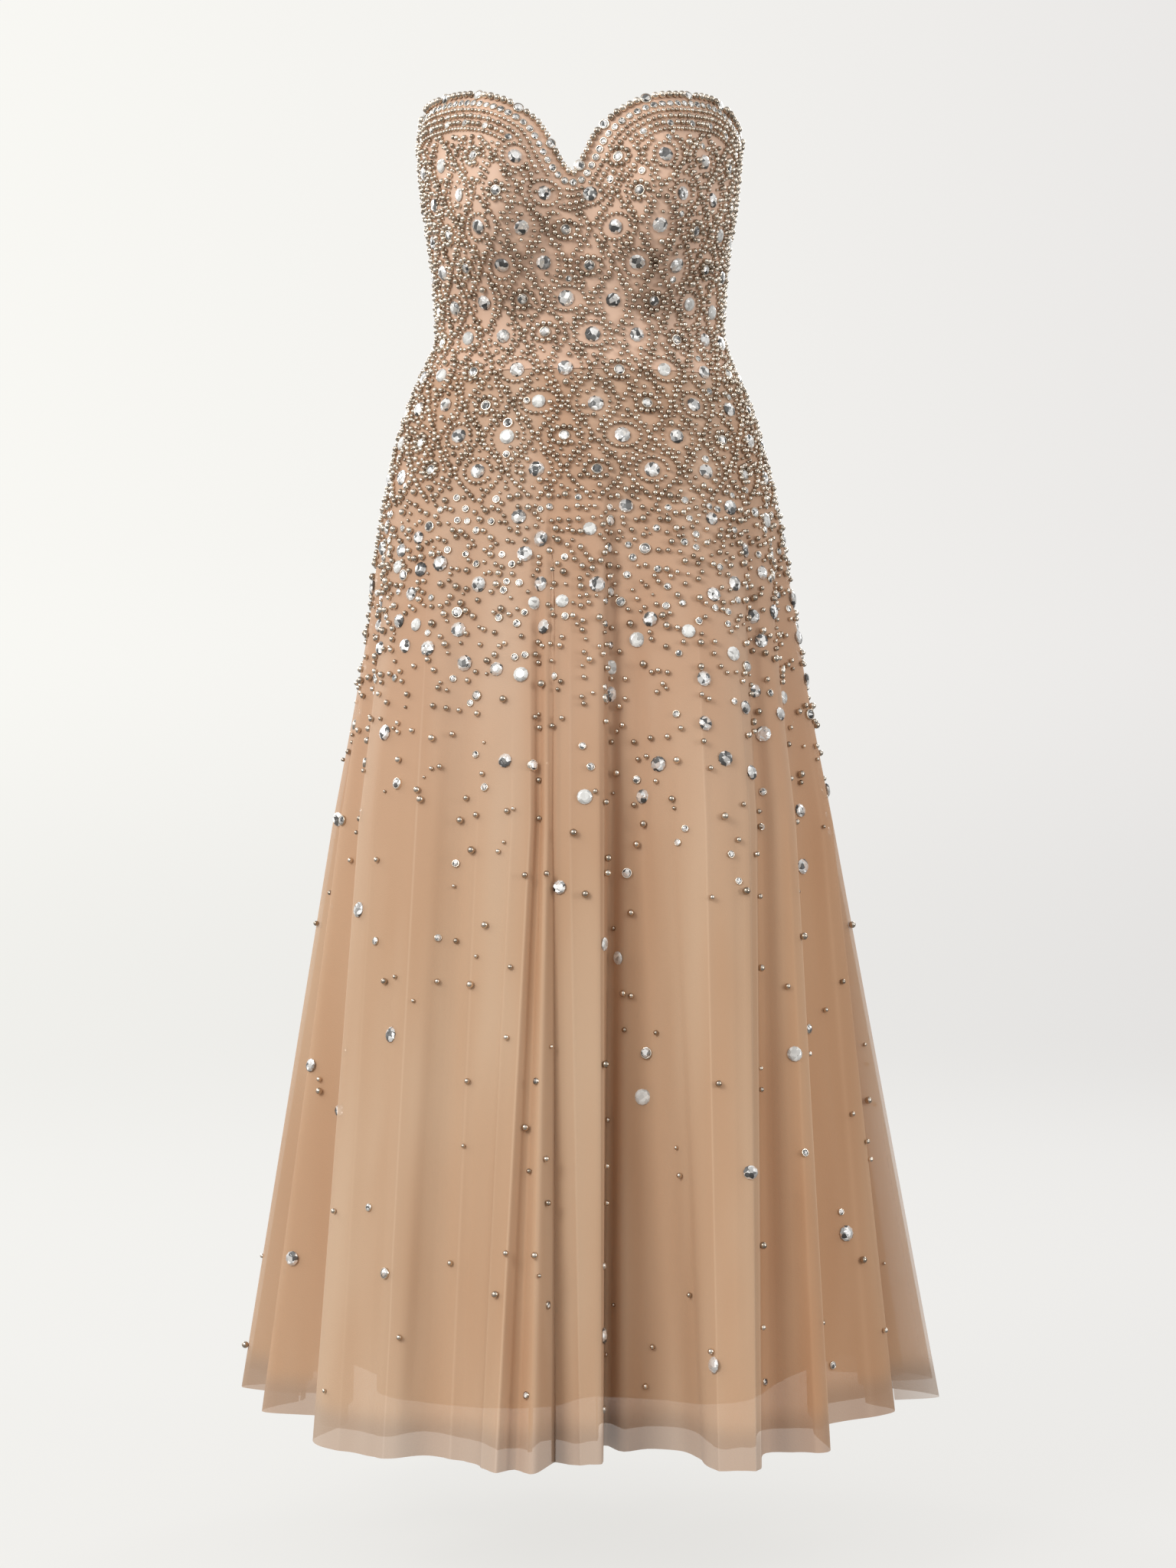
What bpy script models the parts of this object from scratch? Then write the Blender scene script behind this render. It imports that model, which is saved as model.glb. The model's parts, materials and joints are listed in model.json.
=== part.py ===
"""Strapless floor-length tulle gown, held out as if worn, with nobody inside.

Metres, +Z up, the front faces -Y and +X is the viewer's right (the wearer's left).
The origin is the middle of the waist seam, where the wearer's waist carries the gown.

Every cloth piece is a thin wall lofted through horizontal rings. A ring is worked out
from the sizes in SECTIONS (the fitted form) and FOLDS (where each fold stands half way down
and at the hem), and the wall's inner face is the same ring moved inwards in its own plane.
The rings are unlike one another, round at the hips and deeply folded at the hem, and the
stacked layers and their seams have to stay parallel, so the walls are lofted face by face.
"""

import math

import bmesh
import bpy
from mathutils import Matrix, Vector

# ---------------------------------------------------------------- driving sizes
HEM_Z = -0.970  # hem of the beaded overskirt
MID_HEM_Z = -0.952  # hem of the plain tulle layer under it
LINING_HEM_Z = -0.932  # hem of the nude lining
FOLD_TOP_Z = -0.085  # height where the skirt's folds begin to leave the hips
FOLD_POWER = 0.90  # how early the folds deepen

BODICE_WALL = 0.0024  # boned and lined bodice
CLOTH_WALL = 0.0010  # each skirt layer
LAYER_GAP = 0.0006  # air between the two tulle layers at the waist
LINING_GAP = 0.0010  # air between the tulle and the lining there
MID_GAP_HEM = 0.0030  # air between overskirt and plain tulle at the hem
SEAM = 0.0006  # width of a sewn seam between two pieces
WAIST_SEAM = 0.0003  # half of the gap at the waist seam

SIDE = 93.0  # side seam, degrees round from the centre front

ZIP_END_Z = -0.180  # lower end of the centre-back zip
ZIP_TOP_Z = 0.1765
ZIP_OPENING = 0.0018  # width left between the back edges for the zip's teeth
ZIP_TEETH = 0.0009  # width of the closed teeth
ZIP_TAPE_WIDTH = 0.020
ZIP_TAPE_GAP = 0.0006  # air between the gown's inside and the tape
ZIP_TAPE_WALL = 0.0009

SLIDER = (0.0056, 0.0026, 0.0090)  # width, thickness, height
SLIDER_Z = 0.1685
SLIDER_GAP = 0.0004
BAR_RADIUS = 0.00045  # top bar of the pull, which turns under the slider's bridge
BRIDGE_WIDTH = 0.0012
BRIDGE_WALL = 0.0007
BRIDGE_ROOM = 0.0009  # from the bar's axis to the inside of the bridge
PULL = (0.0050, 0.0008, 0.0200)  # width, thickness, length
PULL_SLOT = (0.0024, 0.0030)  # slot that the bridge passes through

# Fitted form: half width, depth to the front, depth to the back and fullness of the cups
SECTIONS = (
    # name            z      half   front  back   cup
    ("cup_top", 0.257, 0.1445, 0.086, 0.086, 0.016),
    ("upper_bust", 0.225, 0.1520, 0.091, 0.089, 0.030),
    ("bust", 0.174, 0.1480, 0.095, 0.088, 0.044),
    ("bust_point", 0.150, 0.1448, 0.095, 0.086, 0.045),
    ("under_bust", 0.115, 0.1395, 0.094, 0.082, 0.033),
    ("ribs", 0.080, 0.1362, 0.091, 0.078, 0.013),
    ("waist", 0.048, 0.1345, 0.089, 0.075, 0.002),
    ("waist_low", 0.022, 0.1405, 0.090, 0.077, 0.0),
    ("waist_seam", 0.000, 0.1510, 0.094, 0.083, 0.0),
    ("high_hip", -0.045, 0.1675, 0.105, 0.099, 0.0),
    ("hip", -0.100, 0.1812, 0.120, 0.118, 0.0),
    ("low_hip", -0.155, 0.1905, 0.131, 0.132, 0.0),
    ("thigh", -0.260, 0.2035, 0.150, 0.154, 0.0),
    ("knee", -0.500, 0.2390, 0.190, 0.200, 0.0),
    ("hem", -0.970, 0.3000, 0.272, 0.290, 0.0),
)
CUP_X = 0.080  # bust point from the centre line
CUP_WIDTH = 0.050

# Height of the top edge round the body. Its notch stands a little to the wearer's right.
NECKLINE = (
    # degrees from the centre front, height
    (-180, 0.1780),
    (-155, 0.1830),
    (-135, 0.1945),
    (-118, 0.2090),
    (-104, 0.2260),
    (-94, 0.2405),
    (-86, 0.2500),
    (-78, 0.2555),
    (-69, 0.2582),
    (-60, 0.2588),
    (-50, 0.2585),
    (-42, 0.2562),
    (-34.6, 0.2520),
    (-28, 0.2465),
    (-22, 0.2390),
    (-17.5, 0.2318),
    (-14.4, 0.2245),
    (-11.6, 0.2136),
    (-9.4, 0.2020),
    (-7.0, 0.1908),
    (-4.6, 0.1826),
    (-2.6, 0.1788),
    (-0.8, 0.1832),
    (1.2, 0.1925),
    (3.3, 0.2040),
    (5.0, 0.2130),
    (7.0, 0.2203),
    (10.0, 0.2283),
    (14.5, 0.2370),
    (20, 0.2442),
    (26, 0.2498),
    (34, 0.2533),
    (44, 0.2560),
    (54, 0.2574),
    (62, 0.2548),
    (69, 0.2500),
    (76, 0.2422),
    (84, 0.2335),
    (93, 0.2245),
    (105, 0.2135),
    (120, 0.2020),
    (137, 0.1920),
    (157, 0.1828),
    (180, 0.1780),
)
NOTCH_COLUMNS = (-27, -21, -16, -12, -9, -5.8, -2.6, 0.8, 4.2, 7.6, 12, 18, 25)

# Each row is a crest, a valley or a plain stretch of the overskirt: its place round the
# body in degrees, then where it stands at MID_Z and at the hem, in millimetres across
# and deep. Crests stand out, valleys go in, and an edge is a crest that hides its valley.
MID_Z = -0.420
FOLDS = (
    ("back_crest_l1", -173, -34, 200, -56, 322),
    ("back_valley_l1", -165, -70, 178, -98, 262),
    ("back_crest_l2", -156, -114, 194, -160, 296),
    ("back_valley_l2", -147, -140, 154, -186, 216),
    ("back_crest_l3", -137, -188, 148, -256, 222),
    ("back_valley_l3", -128, -190, 102, -246, 140),
    ("back_crest_l4", -119, -230, 86, -318, 134),
    ("side_valley_l", -110, -216, 52, -276, 88),
    ("side_crest_l", -102, -238, 34, -329, 58),
    ("left_valley_1", -95, -216, 8, -262, 6),
    ("left_strip", -87, -226, -28, -296, -66),
    ("left_valley_2", -80, -204, -50, -214, -104),
    ("main_panel_edge", -73, -204, -84, -238, -188),
    ("main_panel_side", -61, -178, -122, -196, -242),
    ("main_panel_ridge", -47, -138, -158, -163, -266),
    ("main_panel_dip", -36, -106, -160, -128, -262),
    ("main_panel_inner", -25, -74, -180, -92, -284),
    ("pleat_1", -15.5, -44, -190, -71, -322),
    ("between_pleats", -12.5, -36, -182, -55, -306),
    ("pleat_2", -10, -30, -190, -39, -320),
    ("pleat_foot", -8, -24, -176, -26, -268),
    ("centre_flute_left", -5.5, -18, -190, -7, -286),
    ("centre_flute", 1, 4, -194, 9, -294),
    ("centre_flute_edge", 7, 22, -190, 21, -286),
    ("centre_valley", 9.5, 27, -156, 22, -216),
    ("small_flute", 13, 40, -160, 38, -240),
    ("set_back_panel", 17, 56, -162, 62, -229),
    ("right_flute_left", 21, 68, -174, 92, -242),
    ("right_flute", 31, 98, -188, 112, -296),
    ("right_flute_ridge", 42, 130, -182, 132, -314),
    ("right_flute_edge", 55, 160, -158, 156, -308),
    ("right_valley_1", 59, 164, -126, 162, -250),
    ("right_panel", 64, 182, -124, 190, -248),
    ("right_panel_edge", 71, 199, -104, 221, -236),
    ("right_valley_2", 76, 201, -66, 215, -134),
    ("right_strip", 83, 238, -36, 294, -60),
    ("right_valley_3", 90, 222, -10, 272, -14),
    ("side_crest_r", 98, 243, 22, 345, 14),
    ("side_valley_r", 107, 220, 50, 284, 66),
    ("back_crest_r4", 116, 232, 90, 322, 130),
    ("back_valley_r3", 127, 194, 102, 250, 142),
    ("back_crest_r3", 137, 190, 146, 262, 218),
    ("back_valley_r2", 147, 144, 152, 190, 212),
    ("back_crest_r2", 156, 118, 192, 168, 292),
    ("back_valley_r1", 165, 74, 176, 104, 258),
    ("back_crest_r1", 173, 36, 200, 60, 320),
    ("centre_back", 180, 0, 190, 0, 296),
)

# The nude lining hangs inside every valley of the tulle, with fewer and softer folds
LINING_FOLDS = (
    ("back_left", -168, -46, 170, -70, 236),
    ("back_l2", -146, -124, 140, -166, 190),
    ("back_l3", -126, -174, 92, -222, 118),
    ("left_side", -106, -200, 40, -250, 62),
    ("left_front", -92, -204, 2, -238, -2),
    ("left_dip", -79, -192, -44, -196, -86),
    ("main_left", -66, -178, -94, -186, -180),
    ("main_right", -44, -120, -148, -126, -232),
    ("centre_left", -20, -54, -166, -66, -252),
    ("centre_flute", -5, -12, -166, -18, -238),
    ("centre_valley", 9, 26, -146, 14, -198),
    ("set_back", 18, 54, -148, 62, -208),
    ("right_front", 38, 110, -156, 114, -232),
    ("right_panel", 58, 150, -112, 160, -208),
    ("right_dip", 75, 188, -60, 194, -112),
    ("right_front_side", 89, 206, -8, 246, -10),
    ("right_side", 106, 204, 44, 256, 62),
    ("back_r3", 126, 176, 92, 226, 120),
    ("back_r2", 146, 128, 140, 170, 186),
    ("back_right", 167, 50, 168, 76, 232),
    ("centre_back", 180, 0, 182, 0, 284),
)

SKIRT_RINGS = (0.0, -0.045, -0.110, -0.180, -0.290, -0.420, -0.690)  # then the hem
BODICE_RINGS = (0.0, 0.13, 0.26, 0.38, 0.50, 0.63, 0.76, 0.88, 1.0)  # shares of height
BODICE_STEP = 8.6  # degrees between the bodice's plain columns

COLOURS = {
    # base colour, roughness, metallic
    "beaded_bodice": ((0.62, 0.43, 0.31), 0.55, 0.0),
    "beaded_tulle": ((0.66, 0.46, 0.31), 0.75, 0.0),
    "plain_tulle": ((0.63, 0.42, 0.27), 0.80, 0.0),
    "nude_lining": ((0.60, 0.40, 0.26), 0.45, 0.0),
    "zip_tape": ((0.55, 0.38, 0.26), 0.70, 0.0),
    "zip_metal": ((0.62, 0.55, 0.45), 0.28, 1.0),
}


# ---------------------------------------------------------------- curves through tables
def slopes(xs, ys):
    """Slopes of a smooth curve through the points that never overshoots them."""
    steps = [(ys[i + 1] - ys[i]) / (xs[i + 1] - xs[i]) for i in range(len(xs) - 1)]
    out = [steps[0]]
    for i in range(1, len(xs) - 1):
        before, after = steps[i - 1], steps[i]
        out.append(0.0 if before * after <= 0 else 2 * before * after / (before + after))
    return out + [steps[-1]]


def through(xs, ys, m, x):
    """Height at x of the Hermite curve through the points."""
    x = min(max(x, xs[0]), xs[-1])
    i = max(k for k in range(len(xs) - 1) if xs[k] <= x)
    h = xs[i + 1] - xs[i]
    s = (x - xs[i]) / h
    return (
        (1 + 2 * s) * (1 - s) ** 2 * ys[i]
        + s * (1 - s) ** 2 * h * m[i]
        + s * s * (3 - 2 * s) * ys[i + 1]
        + s * s * (s - 1) * h * m[i + 1]
    )


def curve_of(xs, ys):
    m = slopes(xs, ys)
    return lambda x: through(xs, ys, m, x)


def ring_curve(rows, first_column):
    """A closed curve (x, y) in metres of the angle, through the folds' places."""
    base = [
        (row[1], row[first_column] / 1000, row[first_column + 1] / 1000) for row in rows
    ]
    wide = (
        [(t - 360, x, y) for t, x, y in base[-3:]]
        + base
        + [(t + 360, x, y) for t, x, y in base[:3]]
    )
    ts = [p[0] for p in wide]
    curves = []
    for k in (1, 2):
        ys = [p[k] for p in wide]
        m = [0.0] + [
            (ys[i + 1] - ys[i - 1]) / (ts[i + 1] - ts[i - 1])
            for i in range(1, len(ts) - 1)
        ] + [0.0]
        curves.append((ts, ys, m))
    first = base[0][0]

    def at(t):
        t = (t - first) % 360 + first
        return tuple(through(*c, t) for c in curves)

    return at


LEVELS = [row[1] for row in reversed(SECTIONS)]
HALF, FRONT, BACK, CUP = (
    curve_of(LEVELS, [row[k] for row in reversed(SECTIONS)]) for k in (2, 3, 4, 5)
)
TOP_EDGE = curve_of([row[0] for row in NECKLINE], [row[1] for row in NECKLINE])
TULLE, LINING = ((ring_curve(rows, 2), ring_curve(rows, 4)) for rows in (FOLDS, LINING_FOLDS))


def form(t, z):
    """The fitted form at angle t (degrees from the centre front) and height z."""
    a = math.radians(t)
    x = HALF(z) * math.sin(a)
    deep = FRONT(z) if math.cos(a) > 0 else BACK(z)
    y = -deep * math.cos(a)
    if math.cos(a) > 0:
        full = sum(math.exp(-(((x - s * CUP_X) / CUP_WIDTH) ** 2)) for s in (-1, 1))
        y -= CUP(z) * full * min(1.0, math.cos(a) * 3)
    return x, y


def fold_share(z):
    """How much of its displacement at MID_Z a fold has at a height above that."""
    return max(0.0, (FOLD_TOP_Z - z) / (FOLD_TOP_Z - MID_Z)) ** FOLD_POWER


def skirt(rings, t, z):
    """A skirt layer: the form, drawn into folds down to MID_Z and straight from there."""
    middle, hem = rings
    mx, my = middle(t)
    if z < MID_Z:
        hx, hy = hem(t)
        w = (MID_Z - z) / (MID_Z - HEM_Z)
        return mx + w * (hx - mx), my + w * (hy - my)
    x, y = form(t, z)
    ex, ey = form(t, MID_Z)
    w = fold_share(z)
    return x + w * (mx - ex), y + w * (my - ey)


def inwards(surface, t, z, depth):
    """A point of the surface moved in by depth along its ring's normal."""
    x, y = surface(t, z)
    x0, y0 = surface(t - 0.2, z)
    x1, y1 = surface(t + 0.2, z)
    tangent = Vector((x1 - x0, y1 - y0)).normalized()
    return Vector((x - tangent.y * depth, y + tangent.x * depth, z))


def moved_along(surface, t, z, distance):
    """The angle that lies this far along the ring from t."""
    x0, y0 = surface(t - 0.2, z)
    x1, y1 = surface(t + 0.2, z)
    return t + distance / (math.hypot(x1 - x0, y1 - y0) / 0.4)


# ---------------------------------------------------------------- building
def clear_scene():
    for obj in list(bpy.data.objects):
        bpy.data.objects.remove(obj, do_unlink=True)


def collection(name):
    made = bpy.data.collections.new(name)
    bpy.context.scene.collection.children.link(made)
    return made


def material(name):
    colour, roughness, metallic = COLOURS[name]
    mat = bpy.data.materials.new(name)
    mat.use_nodes = True
    shader = mat.node_tree.nodes["Principled BSDF"]
    shader.inputs["Base Color"].default_value = (*colour, 1.0)
    shader.inputs["Roughness"].default_value = roughness
    shader.inputs["Metallic"].default_value = metallic
    mat.diffuse_color = (*colour, 1.0)
    return mat


def object_of(bm, name, mat, where):
    bmesh.ops.recalc_face_normals(bm, faces=bm.faces)
    mesh = bpy.data.meshes.new(name)
    bm.to_mesh(mesh)
    bm.free()
    mesh.materials.append(mat)
    mesh.shade_smooth()
    mesh.set_sharp_from_angle(angle=math.radians(50))
    obj = bpy.data.objects.new(name, mesh)
    where.objects.link(obj)
    return obj


def loft_wall(name, outer, inner, mat, where):
    """A closed wall between two grids of points, outer[row][column] and inner alike."""
    bm = bmesh.new()
    rows, columns = len(outer), len(outer[0])
    grids = [
        [[bm.verts.new(p) for p in row] for row in grid] for grid in (outer, inner)
    ]
    # every quad is split along the same diagonal, so that stacked layers stay parallel
    for grid in grids:
        for j in range(rows - 1):
            for i in range(columns - 1):
                a, b = grid[j][i], grid[j][i + 1]
                c, d = grid[j + 1][i + 1], grid[j + 1][i]
                bm.faces.new((a, b, c))
                bm.faces.new((a, c, d))
    out, into = grids
    for j in (0, rows - 1):
        for i in range(columns - 1):
            bm.faces.new((out[j][i], out[j][i + 1], into[j][i + 1], into[j][i]))
    for i in (0, columns - 1):
        for j in range(rows - 1):
            bm.faces.new((out[j][i], out[j + 1][i], into[j + 1][i], into[j][i]))
    return object_of(bm, name, mat, where)


def over_depth(_):
    return 0.0


def mid_depth(z):
    return CLOTH_WALL + LAYER_GAP + (MID_GAP_HEM - LAYER_GAP) * min(1.0, fold_share(z))


def lining_depth(z):
    """The lining leaves the tulle once the zip has ended."""
    leaves = min(1.0, max(0.0, ZIP_END_Z - z) / 0.2)
    return 2 * CLOTH_WALL + LAYER_GAP + LINING_GAP + 0.0030 * leaves


def layer_inside(t, z):
    """How far back the gown's innermost face stands: the bodice's, or the lining's."""
    if z > 0:
        return inwards(form, t, z, BODICE_WALL).y

    def surface(u, level):
        return skirt(LINING, u, level)

    return inwards(surface, t, z, lining_depth(z) + CLOTH_WALL).y


def edge_gap(t, z):
    """Half the gap to leave at a panel's edge: wider along the zip's opening."""
    if abs(abs(t) - 180) < 1e-6 and z > ZIP_END_Z - 0.006:
        return ZIP_OPENING / 2
    return SEAM / 2


def panel_angles(surface, t0, t1, between, z):
    """The panel's column angles at height z, its edges drawn in by half the seam."""
    first = moved_along(surface, t0, z, edge_gap(t0, z))
    last = moved_along(surface, t1, z, -edge_gap(t1, z))
    return [first, *between, last]


def bodice_panel(name, t0, t1, mat, where):
    notch = [t for t in NOTCH_COLUMNS if t0 < t < t1]
    between = []
    for a, b in ((t0, notch[0]), (notch[-1], t1)) if notch else ((t0, t1),):
        count = round((b - a) / BODICE_STEP)
        between += [a + (b - a) * i / count for i in range(1, count)]
    outer, inner = [], []
    for share in BODICE_RINGS:
        rows = ([], [])
        for t in panel_angles(form, t0, t1, sorted(between + notch), 0.1):
            z = WAIST_SEAM + share * (TOP_EDGE(t) - WAIST_SEAM)
            rows[0].append(inwards(form, t, z, 0.0))
            rows[1].append(inwards(form, t, z, BODICE_WALL))
        outer.append(rows[0])
        inner.append(rows[1])
    return loft_wall(name, outer, inner, mat, where)


def fold_columns(rows, widest, t0, t1):
    """A column on every fold between t0 and t1, and one more in each wide stretch."""
    marks = [row[1] for row in rows if t0 + 1.5 < row[1] < t1 - 1.5]
    out = []
    for a, b in zip([t0, *marks], [*marks, t1]):
        if b - a > widest:
            out.append((a + b) / 2)
        out.append(b)
    return out[:-1]


def skirt_panel(name, t0, t1, layer, mat, where):
    """depth(z) is how far the layer's outer face lies behind the rings' own surface."""
    rings, columns, hem_z, depth = layer

    def surface(t, z):
        return skirt(rings, t, z)

    between = fold_columns(*columns, t0, t1)
    outer, inner = [], []
    for z in (*SKIRT_RINGS, hem_z):
        level = z if z < 0 else -WAIST_SEAM
        angles = panel_angles(surface, t0, t1, between, level)
        outer.append([inwards(surface, t, level, depth(level)) for t in angles])
        inner.append(
            [inwards(surface, t, level, depth(level) + CLOTH_WALL) for t in angles]
        )
    return loft_wall(name, outer, inner, mat, where)


def panels(prefix, build, *how):
    """The front and the two halves of the back, which the zip parts."""
    for part, t0, t1 in (
        ("front", -SIDE, SIDE),
        ("back_left", SIDE, 180.0),
        ("back_right", -180.0, -SIDE),
    ):
        build(f"{prefix}_{part}", t0, t1, *how)


def zip_tape(mat, where):
    """The closed zip: teeth standing in the centre-back gap, on a tape inside the gown."""
    half, teeth = ZIP_TAPE_WIDTH / 2, ZIP_TEETH / 2
    levels = (ZIP_TOP_Z, 0.15, 0.115, 0.08, 0.048, 0.022, 0.002, 0.0, -0.045, -0.105, ZIP_END_Z)
    bm = bmesh.new()
    rings = []
    for z in levels:
        face = skirt(TULLE, 180, z)[1]
        inside = min(
            layer_inside(moved_along(form, 180, z, across), z)
            for across in (-half, 0.0, half)
        )
        near, deep = inside - ZIP_TAPE_GAP, inside - ZIP_TAPE_GAP - ZIP_TAPE_WALL
        profile = (
            (-teeth, face - 0.0004),
            (teeth, face - 0.0004),
            (teeth, near),
            (half, near),
            (half, deep),
            (-half, deep),
            (-half, near),
            (-teeth, near),
        )
        rings.append([bm.verts.new((x, y, z)) for x, y in profile])
    for low, high in zip(rings, rings[1:]):
        for i in range(8):
            k = (i + 1) % 8
            bm.faces.new((low[i], low[k], high[k], high[i]))
    for ring in (rings[0], rings[-1]):
        # the T is capped as its stem and its bar, so that each cap face is convex
        bm.faces.new((ring[0], ring[1], ring[2], ring[7]))
        bm.faces.new((ring[7], ring[2], ring[3], ring[4], ring[5], ring[6]))
    return object_of(bm, "zip_tape", mat, where)


def box(name, size, centre, mat, where, bevel=0.0):
    bm = bmesh.new()
    bmesh.ops.create_cube(bm, size=1.0)
    bmesh.ops.scale(bm, vec=size, verts=bm.verts)
    if bevel:
        bmesh.ops.bevel(
            bm, geom=bm.edges[:], offset=bevel, segments=1, affect="EDGES", profile=0.5
        )
    bmesh.ops.translate(bm, vec=centre, verts=bm.verts)
    return object_of(bm, name, mat, where)


def join(target, tool, operation="UNION"):
    """target with tool joined to it or cut from it, as a plain mesh."""
    modifier = target.modifiers.new(operation.lower(), "BOOLEAN")
    modifier.operation, modifier.object, modifier.solver = operation, tool, "EXACT"
    graph = bpy.context.evaluated_depsgraph_get()
    mesh = bpy.data.meshes.new_from_object(target.evaluated_get(graph))
    target.modifiers.clear()
    target.data = mesh
    bpy.data.objects.remove(tool, do_unlink=True)
    return target


def slider_face():
    """The slider's outer face, where its bridge stands."""
    return form(180, SLIDER_Z + SLIDER[2] / 2)[1] + SLIDER_GAP + SLIDER[1]


def pull_axis():
    """A point on the axis about which the pull turns."""
    return Vector((0.0, slider_face() + BRIDGE_ROOM, SLIDER_Z + 0.0012))


def slider(mat, where):
    width, thick, high = SLIDER
    face = slider_face()
    body = box(
        "zip_slider", (width, thick, high), (0, face - thick / 2, SLIDER_Z), mat, where, 0.0005
    )
    centre = pull_axis()
    span = 2 * (BRIDGE_ROOM + BRIDGE_WALL)
    reach = centre.y + BRIDGE_ROOM + BRIDGE_WALL - (face - 0.0004)
    bridge = box(
        "bridge",
        (BRIDGE_WIDTH, reach, span),
        (0, face - 0.0004 + reach / 2, centre.z),
        mat,
        where,
    )
    room = box(
        "room",
        (BRIDGE_WIDTH * 2, 2 * BRIDGE_ROOM, 2 * BRIDGE_ROOM),
        (0, centre.y, centre.z),
        mat,
        where,
    )
    join(bridge, room, "DIFFERENCE")
    return join(body, bridge)


def pull(mat, where):
    """A flat tab that hangs from its top bar, with a slot for the bridge."""
    width, thick, length = PULL
    slot_width, slot_length = PULL_SLOT
    centre = pull_axis()
    bm = bmesh.new()
    outline = []
    top, foot = 0.0003, length
    for k in range(9):  # rounded lower end, wider than the top
        a = math.pi * k / 8
        outline.append((width / 2 * math.cos(a), -(foot - width / 2) - width / 2 * math.sin(a)))
    outline += [(-width * 0.36, -0.0046), (-width * 0.36, top), (width * 0.36, top), (width * 0.36, -0.0046)]
    rings = [
        [bm.verts.new((x, y, z)) for x, z in outline] for y in (-thick / 2, thick / 2)
    ]
    for i in range(len(outline)):
        k = (i + 1) % len(outline)
        bm.faces.new((rings[0][i], rings[0][k], rings[1][k], rings[1][i]))
    for ring in rings:
        bm.faces.new(ring)
    bmesh.ops.translate(bm, vec=centre, verts=bm.verts)
    tab = object_of(bm, "zip_pull", mat, where)
    slot = box(
        "slot",
        (slot_width, thick * 4, slot_length),
        (0, centre.y, centre.z - BAR_RADIUS - slot_length / 2),
        mat,
        where,
    )
    return with_origin(join(tab, slot, "DIFFERENCE"), centre)


def with_origin(obj, place):
    """The same object with its origin at this place, such as on its hinge's axis."""
    obj.data.transform(Matrix.Translation(-place))
    obj.location = place
    return obj


def main():
    clear_scene()
    gown = collection("tulle_gown")
    mats = {name: material(name) for name in COLOURS}
    panels("bodice", bodice_panel, mats["beaded_bodice"], gown)
    for prefix, layer, cloth in (
        ("overskirt", (TULLE, (FOLDS, 7), HEM_Z, over_depth), "beaded_tulle"),
        ("midskirt", (TULLE, (FOLDS, 7), MID_HEM_Z, mid_depth), "plain_tulle"),
        ("lining", (LINING, (LINING_FOLDS, 11), LINING_HEM_Z, lining_depth), "nude_lining"),
    ):
        panels(prefix, skirt_panel, layer, mats[cloth], gown)
    zip_tape(mats["zip_tape"], gown)
    slider(mats["zip_metal"], gown)
    pull(mats["zip_metal"], gown)


main()
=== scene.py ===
"""Looks of the strapless tulle gown: sheer layers, lining, beadwork, zip, studio and camera.

Metres, +Z up, the front faces -Y. The cloth shells follow the same sections and folds as the
solids they stand for, with finer creases. The beadwork is laid out by rules: rows that echo
the neckline, an ogee lattice with a stone in each cell, most of them ringed with beads, and a
scatter that thins out towards the hem.
"""

import json
import math

import bpy
import numpy as np
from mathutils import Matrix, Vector

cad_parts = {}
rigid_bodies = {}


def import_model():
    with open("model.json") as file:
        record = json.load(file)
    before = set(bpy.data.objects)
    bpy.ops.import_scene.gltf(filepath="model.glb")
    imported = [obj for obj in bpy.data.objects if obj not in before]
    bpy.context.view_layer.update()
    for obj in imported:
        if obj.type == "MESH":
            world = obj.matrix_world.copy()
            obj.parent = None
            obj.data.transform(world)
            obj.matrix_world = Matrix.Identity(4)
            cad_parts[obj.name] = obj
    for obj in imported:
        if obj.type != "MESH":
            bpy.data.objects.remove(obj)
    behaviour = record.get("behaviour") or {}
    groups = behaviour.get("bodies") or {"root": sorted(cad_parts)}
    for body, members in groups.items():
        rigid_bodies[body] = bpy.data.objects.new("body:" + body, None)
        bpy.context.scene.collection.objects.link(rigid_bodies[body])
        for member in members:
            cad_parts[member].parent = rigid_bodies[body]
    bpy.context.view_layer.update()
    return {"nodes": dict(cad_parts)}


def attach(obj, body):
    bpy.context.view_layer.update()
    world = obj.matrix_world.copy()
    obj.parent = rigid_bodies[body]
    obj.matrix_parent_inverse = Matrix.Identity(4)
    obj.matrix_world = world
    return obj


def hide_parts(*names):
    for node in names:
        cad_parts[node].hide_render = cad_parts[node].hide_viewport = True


for old in list(bpy.data.objects):
    bpy.data.objects.remove(old)
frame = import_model()
RNG = np.random.default_rng(27)

# ------------------------------------------------------------------ the gown's sizes
HEM_Z, MID_HEM_Z, LINING_HEM_Z = -0.970, -0.952, -0.932
MID_Z, FOLD_TOP_Z, FOLD_POWER = -0.420, -0.085, 0.90
SIDE = 93.0
BODICE_WALL = 0.0024
CUP_X, CUP_WIDTH = 0.080, 0.050
ZIP_END_Z, ZIP_TOP_Z, ZIP_OPENING = -0.180, 0.1765, 0.0018

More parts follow.
